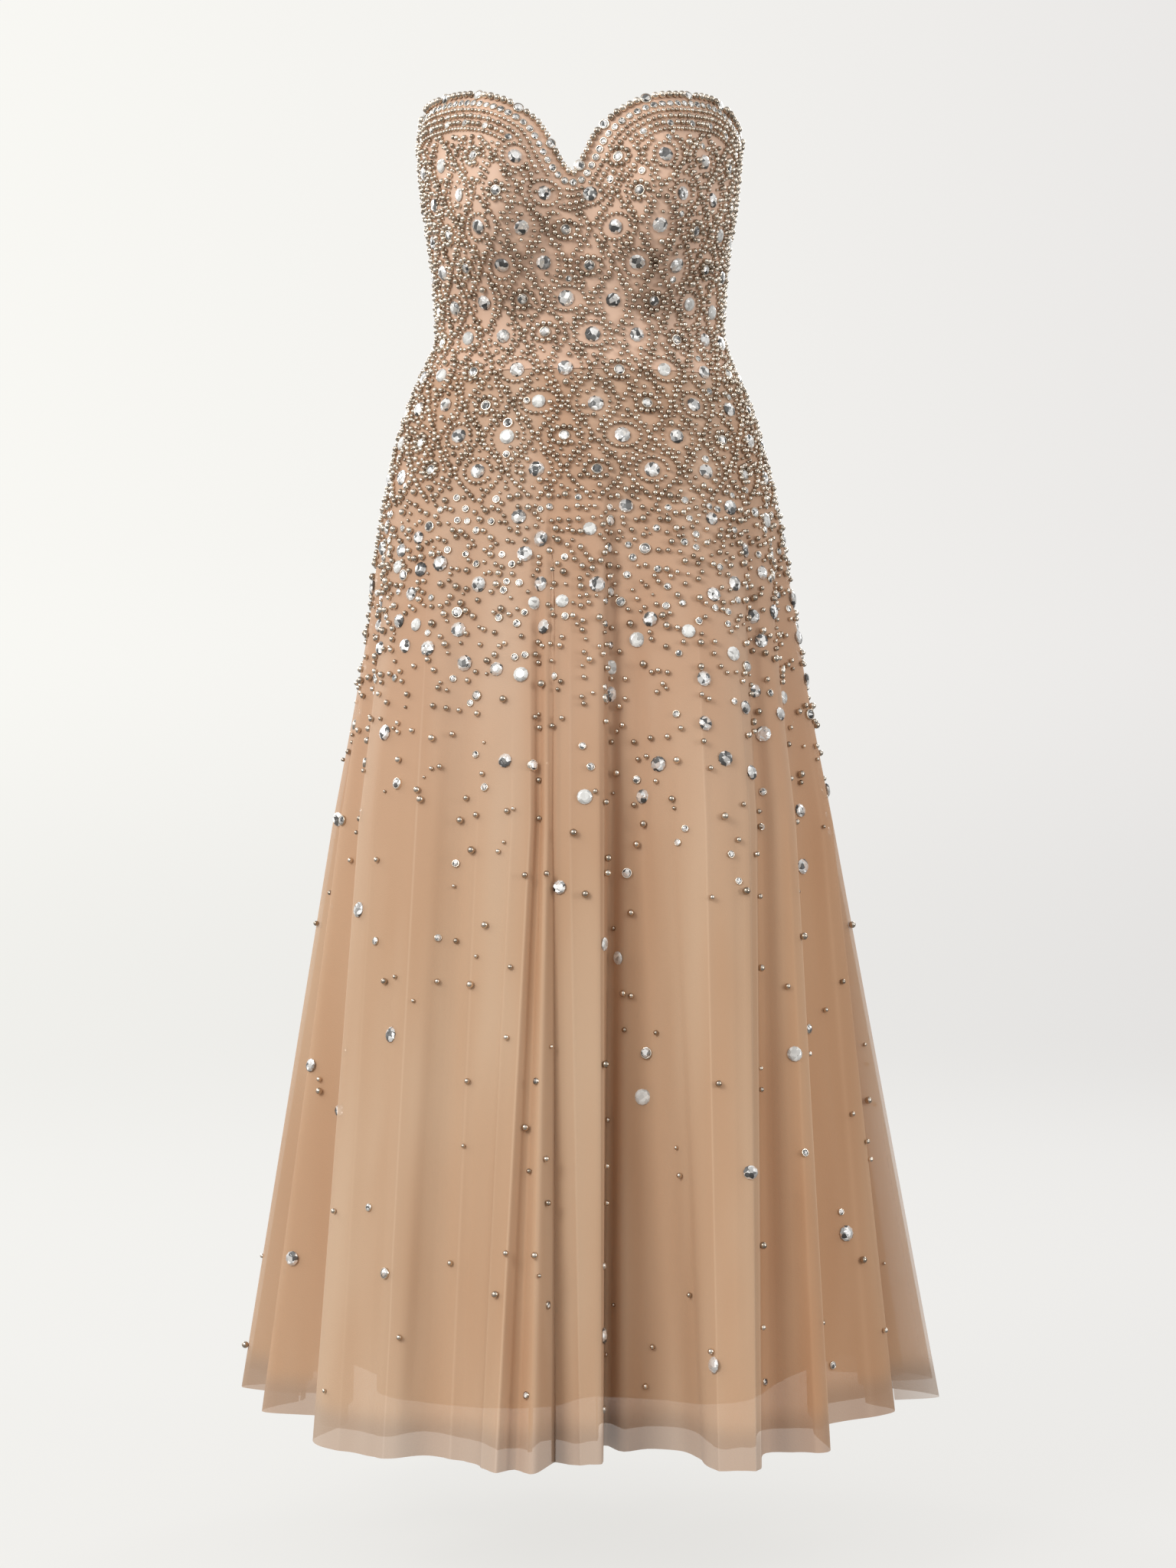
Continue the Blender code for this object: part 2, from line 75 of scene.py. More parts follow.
SECTIONS = (
    # name            z      half   front  back   cup
    ("cup_top", 0.257, 0.1445, 0.086, 0.086, 0.016),
    ("upper_bust", 0.225, 0.1520, 0.091, 0.089, 0.030),
    ("bust", 0.174, 0.1480, 0.095, 0.088, 0.044),
    ("bust_point", 0.150, 0.1448, 0.095, 0.086, 0.045),
    ("under_bust", 0.115, 0.1395, 0.094, 0.082, 0.033),
    ("ribs", 0.080, 0.1362, 0.091, 0.078, 0.013),
    ("waist", 0.048, 0.1345, 0.089, 0.075, 0.002),
    ("waist_low", 0.022, 0.1405, 0.090, 0.077, 0.0),
    ("waist_seam", 0.000, 0.1510, 0.094, 0.083, 0.0),
    ("high_hip", -0.045, 0.1675, 0.105, 0.099, 0.0),
    ("hip", -0.100, 0.1812, 0.120, 0.118, 0.0),
    ("low_hip", -0.155, 0.1905, 0.131, 0.132, 0.0),
    ("thigh", -0.260, 0.2035, 0.150, 0.154, 0.0),
    ("knee", -0.500, 0.2390, 0.190, 0.200, 0.0),
    ("hem", -0.970, 0.3000, 0.272, 0.290, 0.0),
)

NECKLINE = (
    # degrees from the centre front, height
    (-180, 0.1780),
    (-155, 0.1830),
    (-135, 0.1945),
    (-118, 0.2090),
    (-104, 0.2260),
    (-94, 0.2405),
    (-86, 0.2500),
    (-78, 0.2555),
    (-69, 0.2582),
    (-60, 0.2588),
    (-50, 0.2585),
    (-42, 0.2562),
    (-34.6, 0.2520),
    (-28, 0.2465),
    (-22, 0.2390),
    (-17.5, 0.2318),
    (-14.4, 0.2245),
    (-11.6, 0.2136),
    (-9.4, 0.2020),
    (-7.0, 0.1908),
    (-4.6, 0.1826),
    (-2.6, 0.1788),
    (-0.8, 0.1832),
    (1.2, 0.1925),
    (3.3, 0.2040),
    (5.0, 0.2130),
    (7.0, 0.2203),
    (10.0, 0.2283),
    (14.5, 0.2370),
    (20, 0.2442),
    (26, 0.2498),
    (34, 0.2533),
    (44, 0.2560),
    (54, 0.2574),
    (62, 0.2548),
    (69, 0.2500),
    (76, 0.2422),
    (84, 0.2335),
    (93, 0.2245),
    (105, 0.2135),
    (120, 0.2020),
    (137, 0.1920),
    (157, 0.1828),
    (180, 0.1780),
)
NOTCH_T = -2.6

FOLDS = (
    # name, degrees, then millimetres across and deep at MID_Z and at the hem
    ("back_crest_l1", -173, -34, 200, -56, 322),
    ("back_valley_l1", -165, -70, 178, -98, 262),
    ("back_crest_l2", -156, -114, 194, -160, 296),
    ("back_valley_l2", -147, -140, 154, -186, 216),
    ("back_crest_l3", -137, -188, 148, -256, 222),
    ("back_valley_l3", -128, -190, 102, -246, 140),
    ("back_crest_l4", -119, -230, 86, -318, 134),
    ("side_valley_l", -110, -216, 52, -276, 88),
    ("side_crest_l", -102, -238, 34, -329, 58),
    ("left_valley_1", -95, -216, 8, -262, 6),
    ("left_strip", -87, -226, -28, -296, -66),
    ("left_valley_2", -80, -204, -50, -214, -104),
    ("main_panel_edge", -73, -204, -84, -238, -188),
    ("main_panel_side", -61, -178, -122, -196, -242),
    ("main_panel_ridge", -47, -138, -158, -163, -266),
    ("main_panel_dip", -36, -106, -160, -128, -262),
    ("main_panel_inner", -25, -74, -180, -92, -284),
    ("pleat_1", -15.5, -44, -190, -71, -322),
    ("between_pleats", -12.5, -36, -182, -55, -306),
    ("pleat_2", -10, -30, -190, -39, -320),
    ("pleat_foot", -8, -24, -176, -26, -268),
    ("centre_flute_left", -5.5, -18, -190, -7, -286),
    ("centre_flute", 1, 4, -194, 9, -294),
    ("centre_flute_edge", 7, 22, -190, 21, -286),
    ("centre_valley", 9.5, 27, -156, 22, -216),
    ("small_flute", 13, 40, -160, 38, -240),
    ("set_back_panel", 17, 56, -162, 62, -229),
    ("right_flute_left", 21, 68, -174, 92, -242),
    ("right_flute", 31, 98, -188, 112, -296),
    ("right_flute_ridge", 42, 130, -182, 132, -314),
    ("right_flute_edge", 55, 160, -158, 156, -308),
    ("right_valley_1", 59, 164, -126, 162, -250),
    ("right_panel", 64, 182, -124, 190, -248),
    ("right_panel_edge", 71, 199, -104, 221, -236),
    ("right_valley_2", 76, 201, -66, 215, -134),
    ("right_strip", 83, 238, -36, 294, -60),
    ("right_valley_3", 90, 222, -10, 272, -14),
    ("side_crest_r", 98, 243, 22, 345, 14),
    ("side_valley_r", 107, 220, 50, 284, 66),
    ("back_crest_r4", 116, 232, 90, 322, 130),
    ("back_valley_r3", 127, 194, 102, 250, 142),
    ("back_crest_r3", 137, 190, 146, 262, 218),
    ("back_valley_r2", 147, 144, 152, 190, 212),
    ("back_crest_r2", 156, 118, 192, 168, 292),
    ("back_valley_r1", 165, 74, 176, 104, 258),
    ("back_crest_r1", 173, 36, 200, 60, 320),
    ("centre_back", 180, 0, 190, 0, 296),
)

LINING_FOLDS = (
    ("back_left", -168, -46, 170, -70, 236),
    ("back_l2", -146, -124, 140, -166, 190),
    ("back_l3", -126, -174, 92, -222, 118),
    ("left_side", -106, -200, 40, -250, 62),
    ("left_front", -92, -204, 2, -238, -2),
    ("left_dip", -79, -192, -44, -196, -86),
    ("main_left", -66, -178, -94, -186, -180),
    ("main_right", -44, -120, -148, -126, -232),
    ("centre_left", -20, -54, -166, -66, -252),
    ("centre_flute", -5, -12, -166, -18, -238),
    ("centre_valley", 9, 26, -146, 14, -198),
    ("set_back", 18, 54, -148, 62, -208),
    ("right_front", 38, 110, -156, 114, -232),
    ("right_panel", 58, 150, -112, 160, -208),
    ("right_dip", 75, 188, -60, 194, -112),
    ("right_front_side", 89, 206, -8, 246, -10),
    ("right_side", 106, 204, 44, 256, 62),
    ("back_r3", 126, 176, 92, 226, 120),
    ("back_r2", 146, 128, 140, 170, 186),
    ("back_right", 167, 50, 168, 76, 232),
    ("centre_back", 180, 0, 182, 0, 284),
)

# Soft creases on the overskirt: where each runs, how far it stands out (+) or in (-)
CREASES = (
    # degrees at top, at hem, top z, bottom z, millimetres, width in degrees
    (-66.0, -65.0, -0.30, -0.97, 1.6, 1.5),
    (-57.0, -54.0, -0.42, -0.97, -1.8, 1.6),
    (-51.0, -50.0, -0.20, -0.80, 1.7, 1.8),
    (-41.0, -42.0, -0.25, -0.90, -1.6, 2.0),
    (-33.0, -31.0, -0.35, -0.97, 1.5, 1.2),
    (-29.5, -28.0, -0.55, -0.97, -1.4, 0.9),
    (-20.0, -20.5, -0.30, -0.97, 1.8, 0.9),
    (-8.0, -8.0, -0.10, -0.97, 8.0, 1.5),
    (-2.8, -2.4, -0.16, -0.97, 1.2, 0.7),
    (3.6, 4.0, -0.20, -0.97, -1.1, 0.8),
    (5.4, 5.9, -0.30, -0.97, 1.0, 0.5),
    (25.5, 26.5, -0.30, -0.97, -1.6, 1.4),
    (36.0, 36.0, -0.20, -0.97, 1.8, 1.4),
    (46.5, 48.5, -0.30, -0.97, -1.6, 1.3),
    (51.0, 52.0, -0.24, -0.97, 1.4, 0.8),
    (67.0, 67.5, -0.35, -0.97, 1.2, 0.9),
    (80.0, 80.5, -0.30, -0.97, 1.2, 0.9),
    (86.5, 86.5, -0.40, -0.97, -1.4, 1.2),
    (102.0, 102.0, -0.30, -0.97, 1.6, 1.2),
    (121.0, 122.0, -0.25, -0.97, -1.8, 1.4),
    (132.0, 131.5, -0.35, -0.97, 1.7, 1.2),
    (141.5, 142.5, -0.22, -0.90, -1.6, 1.3),
    (151.0, 151.5, -0.30, -0.97, 1.8, 1.2),
    (160.0, 161.0, -0.40, -0.97, -1.5, 1.1),
    (169.0, 169.0, -0.25, -0.97, 1.5, 1.1),
    (-91.0, -91.0, -0.35, -0.97, 1.5, 1.0),
    (-106.0, -106.0, -0.28, -0.97, 1.6, 1.2),
    (-115.0, -114.5, -0.40, -0.97, -1.6, 1.2),
    (-124.0, -123.0, -0.22, -0.97, 1.8, 1.3),
    (-133.0, -132.5, -0.34, -0.92, -1.6, 1.2),
    (-142.0, -142.5, -0.26, -0.97, 1.7, 1.2),
    (-151.0, -151.0, -0.40, -0.97, -1.6, 1.1),
    (-161.0, -160.0, -0.28, -0.97, 1.6, 1.1),
    (-169.5, -169.0, -0.35, -0.97, 1.5, 1.0),
)


# ------------------------------------------------------------------ curves and surfaces
def monotone(xs, ys):
    xs, ys = np.array(xs, float), np.array(ys, float)
    step = np.diff(ys) / np.diff(xs)
    m = np.empty_like(ys)
    m[0], m[-1] = step[0], step[-1]
    both = step[:-1] * step[1:]
    total = step[:-1] + step[1:]
    m[1:-1] = np.where(both > 0, 2 * both / np.where(total == 0, 1, total), 0.0)
    return xs, ys, m


def through(curve, x):
    xs, ys, m = curve
    x = np.clip(x, xs[0], xs[-1])
    i = np.clip(np.searchsorted(xs, x, side="right") - 1, 0, len(xs) - 2)
    h = xs[i + 1] - xs[i]
    s = (x - xs[i]) / h
    return (
        (1 + 2 * s) * (1 - s) ** 2 * ys[i]
        + s * (1 - s) ** 2 * h * m[i]
        + s * s * (3 - 2 * s) * ys[i + 1]
        + s * s * (s - 1) * h * m[i + 1]
    )


LEVELS = [row[1] for row in reversed(SECTIONS)]
HALF_C, FRONT_C, BACK_C, CUP_C = (
    monotone(LEVELS, [row[k] for row in reversed(SECTIONS)]) for k in (2, 3, 4, 5)
)
TOP_C = monotone([row[0] for row in NECKLINE], [row[1] for row in NECKLINE])


def top_edge(t):
    return through(TOP_C, t)


def ring_curve(rows, first):
    base = [(row[1], row[first] / 1000, row[first + 1] / 1000) for row in rows]
    wide = (
        [(t - 360, x, y) for t, x, y in base[-3:]]
        + base
        + [(t + 360, x, y) for t, x, y in base[:3]]
    )
    ts = np.array([p[0] for p in wide], float)
    out = []
    for k in (1, 2):
        ys = np.array([p[k] for p in wide], float)
        m = np.zeros_like(ys)
        m[1:-1] = (ys[2:] - ys[:-2]) / (ts[2:] - ts[:-2])
        out.append((ts, ys, m))
    start = base[0][0]

    def at(t):
        t = (np.asarray(t, float) - start) % 360 + start
        return through(out[0], t), through(out[1], t)

    return at


TULLE, LINING = ((ring_curve(rows, 2), ring_curve(rows, 4)) for rows in (FOLDS, LINING_FOLDS))


def form(t, z):
    a = np.radians(t)
    c = np.cos(a)
    x = through(HALF_C, z) * np.sin(a)
    y = -np.where(c > 0, through(FRONT_C, z), through(BACK_C, z)) * c
    full = np.exp(-(((x - CUP_X) / CUP_WIDTH) ** 2)) + np.exp(-(((x + CUP_X) / CUP_WIDTH) ** 2))
    y = y - np.where(c > 0, through(CUP_C, z) * full * np.minimum(1.0, c * 3), 0.0)
    return x, y


def skirt(rings, t, z):
    middle, hem = rings
    mx, my = middle(t)
    hx, hy = hem(t)
    w = np.clip((MID_Z - z) / (MID_Z - HEM_Z), 0, None)
    lx, ly = mx + w * (hx - mx), my + w * (hy - my)
    x, y = form(t, z)
    ex, ey = form(t, MID_Z + 0 * z)
    v = np.clip((FOLD_TOP_Z - z) / (FOLD_TOP_Z - MID_Z), 0, None) ** FOLD_POWER
    return np.where(z < MID_Z, lx, x + v * (mx - ex)), np.where(z < MID_Z, ly, y + v * (my - ey))


def crease(t, z, rows=CREASES, scale=1.0):
    """How far the creases move the surface out, in metres."""
    out = np.zeros(np.broadcast(t, z).shape)
    for t0, t1, z0, z1, mm, wide in rows:
        along = np.clip((z0 - z) / (z0 - HEM_Z), 0, 1)
        at = t0 + (t1 - t0) * along
        d = (t - at + 180) % 360 - 180
        grow = np.clip((z0 - z) / 0.16, 0, 1)
        fade = np.clip((z - z1) / 0.06 + 1.0, 0, 1)
        out += mm / 1000 * scale * grow * grow * (3 - 2 * grow) * fade * np.exp(-((d / wide) ** 2))
    return out


def moved(surface, t, z, out):
    """Points of a surface moved out along each ring's normal, as (x, y)."""
    x, y = surface(t, z)
    x0, y0 = surface(t - 0.25, z)
    x1, y1 = surface(t + 0.25, z)
    tx, ty = x1 - x0, y1 - y0
    length = np.maximum(np.hypot(tx, ty), 1e-9)
    return x + ty / length * out, y - tx / length * out


def tulle_at(t, z):
    return skirt(TULLE, t, z)


def lining_at(t, z):
    return skirt(LINING, t, z)


def gown_at(t, z):
    """The outside of the gown, with its creases, as (x, y)."""
    t, z = np.broadcast_arrays(np.asarray(t, float), np.asarray(z, float))
    bx, by = form(t, z)
    sx, sy = moved(tulle_at, t, z, crease(t, z))
    return np.where(z > 0, bx, sx), np.where(z > 0, by, sy)


def gown_frame(t, z):
    """Points of the gown's outside and the normals there, as two arrays of rows."""
    t, z = np.asarray(t, float), np.asarray(z, float)
    x, y = gown_at(t, z)
    x0, y0 = gown_at(t - 0.35, z)
    x1, y1 = gown_at(t + 0.35, z)
    zu, zd = z + 0.002, z - 0.002
    xu, yu = gown_at(t, zu)
    xd, yd = gown_at(t, zd)
    a = np.stack([x1 - x0, y1 - y0, 0 * z], -1)
    b = np.stack([xu - xd, yu - yd, zu - zd], -1)
    n = np.cross(a, b)
    n /= np.maximum(np.linalg.norm(n, axis=-1, keepdims=True), 1e-12)
    return np.stack([x, y, z], -1), n


# ------------------------------------------------------------------ meshes
GOWN = frame["nodes"]["bodice_front"].users_collection[0]


def mesh_object(name, verts, faces, mat, smooth=True, body="gown", sizes=None):
    """An object from rows of points and rows of faces, all of one length."""
    verts, faces = np.asarray(verts, np.float32), np.asarray(faces, np.int32)
    n, k = faces.shape
    mesh = bpy.data.meshes.new(name)
    mesh.vertices.add(len(verts))
    mesh.vertices.foreach_set("co", verts.ravel())
    mesh.loops.add(n * k)
    mesh.loops.foreach_set("vertex_index", faces.ravel())
    mesh.polygons.add(n)
    mesh.polygons.foreach_set("loop_start", np.arange(0, n * k, k, dtype=np.int32))
    mesh.polygons.foreach_set("use_smooth", np.full(n, smooth))
    mesh.update(calc_edges=True)
    mesh.validate()
    mesh.materials.append(mat)
    if sizes is not None:
        tone = mesh.attributes.new("tone", "FLOAT", "POINT")
        tone.data.foreach_set("value", np.asarray(sizes, np.float32))
    obj = bpy.data.objects.new(name, mesh)
    bpy.context.scene.collection.objects.link(obj)
    if body:
        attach(obj, body)
    return obj


def grid_faces(rows, columns, flip=False):
    j, i = np.meshgrid(np.arange(rows - 1), np.arange(columns - 1), indexing="ij")
    a = (j * columns + i).ravel()
    quads = np.stack([a, a + 1, a + columns + 1, a + columns], -1)
    return quads[:, ::-1] if flip else quads


def even_angles(t0, t1, step, surface=tulle_at, z=HEM_Z):
    """Angles from t0 to t1 that are about this far apart along the ring."""
    t = np.linspace(t0, t1, 4001)
    total = 0
    for level in (z, MID_Z):
        x, y = surface(t, level + 0 * t)
        total = total + np.concatenate([[0], np.cumsum(np.hypot(np.diff(x), np.diff(y)))])
    total = total / 2 + (t - t0) * 0.0008
    count = max(4, int(round(total[-1] / step)))
    return np.interp(np.linspace(0, total[-1], count + 1), total, t)


def drop_levels(z0, z1, step):
    return np.linspace(z0, z1, max(3, int(round((z0 - z1) / step)) + 1))


def parted(t, z, x):
    """Points at the centre-back edges kept clear of the zip's teeth."""
    at_zip = (np.abs(np.abs(t) - 180) < 1.0) & (z > ZIP_END_Z)
    return np.where(at_zip, np.sign(t) * np.maximum(np.abs(x), ZIP_OPENING / 2), x)


def seam_angles(t, t0, t1):
    """The same angles with the ends drawn in a little, for the seams."""
    t = t.copy()
    span = 0.12
    t[0], t[-1] = t0 + span, t1 - span
    return t


def painted_fold_sheen(t, z, lines, wide=0.28):
    """How strongly the painted sheen lies on each point near one of the folded edges, 0 to 1."""
    tone = np.zeros(np.broadcast(t, z).shape)
    for at, top, strength in lines:
        near = np.exp(-(((t - at + 180) % 360 - 180) / wide) ** 2)
        tone = np.maximum(tone, near * strength * np.clip((top - z) / 0.20, 0, 1))
    return tone


OVERLAP_AND_SHADE = (
    # degrees, half width, strength: where several layers overlap, and where painted shade is laid in the valleys and
    # on the wearer's left
    (-84, 7, 0.35), (-31, 6, 0.20), (-12, 4, 0.45), (9.5, 3, 0.40), (15, 4, 0.35), (40, 7, 0.25),
    (59, 4, 0.75), (67, 6, 0.80), (78, 6, 0.95), (90, 5, 0.70), (107, 5, 0.6), (127, 5, 0.7),
    (147, 5, 0.6), (165, 5, 0.65), (-95, 5, 0.5), (-110, 5, 0.65), (-128, 5, 0.6), (-147, 5, 0.7), (-165, 5, 0.6),
)


def overlap_and_shade(t, z):
    """How much the colour deepens at each point, 0 to 1: partly where layers overlap, partly painted shade in the
    valleys and on the wearer's left.
    """
    out = np.zeros(np.broadcast(t, z).shape)
    for at, half, strength in OVERLAP_AND_SHADE:
        near = np.exp(-((((t - at + 180) % 360 - 180) / half) ** 2))
        out = np.maximum(out, near * strength * np.clip((-0.16 - z) / 0.30, 0, 1))
    return out


def sheet_piece(name, t0, t1, surface, out, z_low, mat, step, level_step, hem_wave=0.0, lines=()):
    """A skirt panel as a thin sheet, from the waist seam down to its hem."""
    t = even_angles(t0, t1, step, surface, z_low)
    extra = [at + d for at, _, _ in lines for d in (-0.45, -0.2, 0.0, 0.2, 0.45)]
    extra = [a for a in extra if t0 + 0.4 < a < t1 - 0.4]
    if extra:
        t = np.unique(np.concatenate([t, extra]))
    t = seam_angles(t, t0, t1)
    z = drop_levels(-0.0005, z_low, level_step)
    tt, zz = np.meshgrid(t, z)
    if hem_wave:
        wave = np.sin(np.radians(tt * 7.3)) * 0.6 + np.sin(np.radians(tt * 17.1 + 40)) * 0.4
        zz = zz + hem_wave * wave * np.clip((-0.55 - zz) / 0.4, 0, 1) ** 2
    x, y = moved(surface, tt, zz, out(tt, zz))
    x = parted(tt, zz, x)
    verts = np.stack([x, y, zz], -1).reshape(-1, 3)
    # the painted sheen along the fold edges goes into the tone attribute
    tone = painted_fold_sheen(tt, zz, lines).ravel()
    obj = mesh_object(name, verts, grid_faces(len(z), len(t), flip=True), mat, sizes=tone)
    # this attribute holds overlapping layers and painted shade together
    layers = obj.data.attributes.new("layers", "FLOAT", "POINT")
    layers.data.foreach_set("value", overlap_and_shade(tt, zz).ravel().astype(np.float32))
    single = np.exp(-(((tt - 98) / 5.5) ** 2)) * np.clip((-0.42 - zz) / 0.30, 0, 1)
    thin = obj.data.attributes.new("thin", "FLOAT", "POINT")
    thin.data.foreach_set("value", single.ravel().astype(np.float32))
    return obj, t, z


def sheet_area(obj):
    return sum(p.area for p in obj.data.polygons)


def ring_length(surface, t, z):
    x, y = surface(t, z + 0 * t)
    return float(np.hypot(np.diff(x), np.diff(y)).sum())


# ------------------------------------------------------------------ materials
def new_material(name):
    mat = bpy.data.materials.new(name)
    mat.use_nodes = True
    nodes, links = mat.node_tree.nodes, mat.node_tree.links
    return mat, nodes, links, nodes["Principled BSDF"]


def node(nodes, kind, **values):
    made = nodes.new(kind)
    for key, value in values.items():
        if hasattr(made, key):
            setattr(made, key, value)
        else:
            made.inputs[key.replace("_", " ")].default_value = value
    return made


def scaled_position(nodes, links, scale):
    """Object coordinates times a scale along each axis."""
    coords = nodes.new("ShaderNodeTexCoord")
    mapping = nodes.new("ShaderNodeMapping")
    mapping.inputs["Scale"].default_value = scale
    links.new(coords.outputs["Object"], mapping.inputs["Vector"])
    return mapping.outputs["Vector"]


def ramp(nodes, stops, interpolation="LINEAR"):
    made = nodes.new("ShaderNodeValToRGB")
    made.color_ramp.interpolation = interpolation
    ends = made.color_ramp.elements
    while len(ends) < len(stops):
        ends.new(0.5)
    for end, (position, colour) in zip(ends, stops):
        end.position, end.color = position, (*colour, 1.0)
    return made


def tulle_material(name, light, deep, alpha, net, sheen):
    """A fine net: sheer, matt, richer in colour in random patches, with painted sheen along the folds' edges and
    painted shade in the valleys, on the wearer's left and along the hem.
    """
    mat, nodes, links, shader = new_material(name)
    cloud = node(nodes, "ShaderNodeTexNoise", Scale=1.0, Detail=2.0, Roughness=0.5)
    links.new(scaled_position(nodes, links, (11, 11, 1.6)), cloud.inputs["Vector"])
    shade = ramp(nodes, ((0.34, deep), (0.66, light)))
    links.new(cloud.outputs["Fac"], shade.inputs["Fac"])
    fold_sheen = node(nodes, "ShaderNodeAttribute", attribute_name="tone")
    # painted sheen: along the fold edges the colour is mixed towards one paler than the net's own
    fold_sheen_mix = node(nodes, "ShaderNodeMix", data_type="RGBA")
    links.new(fold_sheen.outputs["Fac"], fold_sheen_mix.inputs[0])
    links.new(shade.outputs["Color"], fold_sheen_mix.inputs[6])
    fold_sheen_mix.inputs[7].default_value = (*(min(1.0, c * 1.22 + 0.05) for c in light), 1.0)
    # the colour deepens in the valleys where many layers lie over one another, and as painted shade there and on the
    # panels at the wearer's left
    many = node(nodes, "ShaderNodeAttribute", attribute_name="layers")
    overlap_and_shade_mix = node(nodes, "ShaderNodeMix", data_type="RGBA", blend_type="MULTIPLY")
    links.new(many.outputs["Fac"], overlap_and_shade_mix.inputs[0])
    links.new(fold_sheen_mix.outputs[2], overlap_and_shade_mix.inputs[6])
    overlap_and_shade_mix.inputs[7].default_value = (0.98, 0.82, 0.69, 1.0)
    # the cloth is pinker towards the waist, under the beads
    coords = nodes.new("ShaderNodeTexCoord")
    split = nodes.new("ShaderNodeSeparateXYZ")
    links.new(coords.outputs["Object"], split.inputs[0])
    rise = node(nodes, "ShaderNodeMapRange", interpolation_type="SMOOTHSTEP")
    rise.inputs["From Min"].default_value = -0.58
    rise.inputs["From Max"].default_value = -0.12
    links.new(split.outputs["Z"], rise.inputs["Value"])
    pink = node(nodes, "ShaderNodeMix", data_type="RGBA", blend_type="MULTIPLY")
    links.new(rise.outputs[0], pink.inputs[0])
    links.new(overlap_and_shade_mix.outputs[2], pink.inputs[6])
    pink.inputs[7].default_value = (1.06, 1.06, 1.14, 1.0)
    # painted shade along the hem: the net is darker in colour and less sheer there, standing in for the shaded inside
    # of the skirt behind it
    hem = node(nodes, "ShaderNodeMapRange", interpolation_type="SMOOTHSTEP")
    hem.inputs["From Min"].default_value = HEM_Z + 0.044
    hem.inputs["From Max"].default_value = HEM_Z + 0.020
    links.new(split.outputs["Z"], hem.inputs["Value"])
    edge = node(nodes, "ShaderNodeMix", data_type="RGBA", blend_type="MULTIPLY")
    links.new(hem.outputs[0], edge.inputs[0])
    links.new(pink.outputs[2], edge.inputs[6])
    edge.inputs[7].default_value = (0.74, 0.78, 0.86, 1.0)
    links.new(edge.outputs[2], shader.inputs["Base Color"])
    close = node(nodes, "ShaderNodeMapRange")
    close.inputs["To Min"].default_value = alpha
    close.inputs["To Max"].default_value = 0.86
    links.new(hem.outputs[0], close.inputs["Value"])
    # and sheerer on the strip at the wearer's left, which has least behind it
    thin = node(nodes, "ShaderNodeAttribute", attribute_name="thin")
    part = node(nodes, "ShaderNodeMath", operation="MULTIPLY")
    links.new(thin.outputs["Fac"], part.inputs[0])
    part.inputs[1].default_value = 0.34
    rest = node(nodes, "ShaderNodeMath", operation="SUBTRACT")
    links.new(close.outputs[0], rest.inputs[0])
    links.new(part.outputs[0], rest.inputs[1])
    links.new(rest.outputs[0], shader.inputs["Alpha"])
    cells = node(nodes, "ShaderNodeTexVoronoi", feature="F1", Scale=net)
    links.new(scaled_position(nodes, links, (1, 1, 1)), cells.inputs["Vector"])
    bump = node(nodes, "ShaderNodeBump", Strength=0.25, Distance=0.0004)
    links.new(cells.outputs["Distance"], bump.inputs["Height"])
    links.new(bump.outputs["Normal"], shader.inputs["Normal"])
    shader.inputs["Roughness"].default_value = 0.72
    shader.inputs["Specular IOR Level"].default_value = 0.12
    shader.inputs["Sheen Weight"].default_value = sheen
    shader.inputs["Sheen Roughness"].default_value = 0.45
    shader.inputs["Sheen Tint"].default_value = (1.0, 0.86, 0.70, 1.0)
    return mat


def woven_material(name, light, deep, roughness, sheen, bump_strength=0.10):
    """A closely woven cloth."""
    mat, nodes, links, shader = new_material(name)
    cloud = node(nodes, "ShaderNodeTexNoise", Scale=1.0, Detail=4.0, Roughness=0.6)
    links.new(scaled_position(nodes, links, (14, 14, 6)), cloud.inputs["Vector"])
    shade = ramp(nodes, ((0.30, deep), (0.72, light)))
    links.new(cloud.outputs["Fac"], shade.inputs["Fac"])
    links.new(shade.outputs["Color"], shader.inputs["Base Color"])
    warp = node(nodes, "ShaderNodeTexWave", Scale=1.0, Distortion=1.2, Detail=1.0)
    links.new(scaled_position(nodes, links, (500, 500, 60)), warp.inputs["Vector"])
    grain = node(nodes, "ShaderNodeTexNoise", Scale=900.0, Detail=1.0)
    links.new(scaled_position(nodes, links, (1, 1, 1)), grain.inputs["Vector"])
    add = node(nodes, "ShaderNodeMath", operation="ADD")
    links.new(warp.outputs["Fac"], add.inputs[0])
    links.new(grain.outputs["Fac"], add.inputs[1])
    bump = node(nodes, "ShaderNodeBump", Strength=bump_strength, Distance=0.0003)
    links.new(add.outputs[0], bump.inputs["Height"])
    links.new(bump.outputs["Normal"], shader.inputs["Normal"])
    shader.inputs["Roughness"].default_value = roughness
    shader.inputs["Specular IOR Level"].default_value = 0.25
    shader.inputs["Sheen Weight"].default_value = sheen
    shader.inputs["Sheen Roughness"].default_value = 0.5
    return mat


def metal_material(name, dark, light, roughness):
    """Beads of warm grey metal, each a little lighter or darker than the next."""
    mat, nodes, links, shader = new_material(name)
    tone = node(nodes, "ShaderNodeAttribute", attribute_name="tone")
    shade = ramp(nodes, ((0.0, dark), (1.0, light)))
    links.new(tone.outputs["Fac"], shade.inputs["Fac"])
    links.new(shade.outputs["Color"], shader.inputs["Base Color"])
    wear = node(nodes, "ShaderNodeTexNoise", Scale=420.0, Detail=2.0)
    links.new(scaled_position(nodes, links, (1, 1, 1)), wear.inputs["Vector"])
    rough = node(nodes, "ShaderNodeMapRange")
    rough.inputs["From Min"].default_value = 0.3
    rough.inputs["From Max"].default_value = 0.7
    rough.inputs["To Min"].default_value = roughness * 0.75
    rough.inputs["To Max"].default_value = roughness * 1.35
    links.new(wear.outputs["Fac"], rough.inputs["Value"])
    links.new(rough.outputs[0], shader.inputs["Roughness"])
    shader.inputs["Metallic"].default_value = 1.0
    return mat


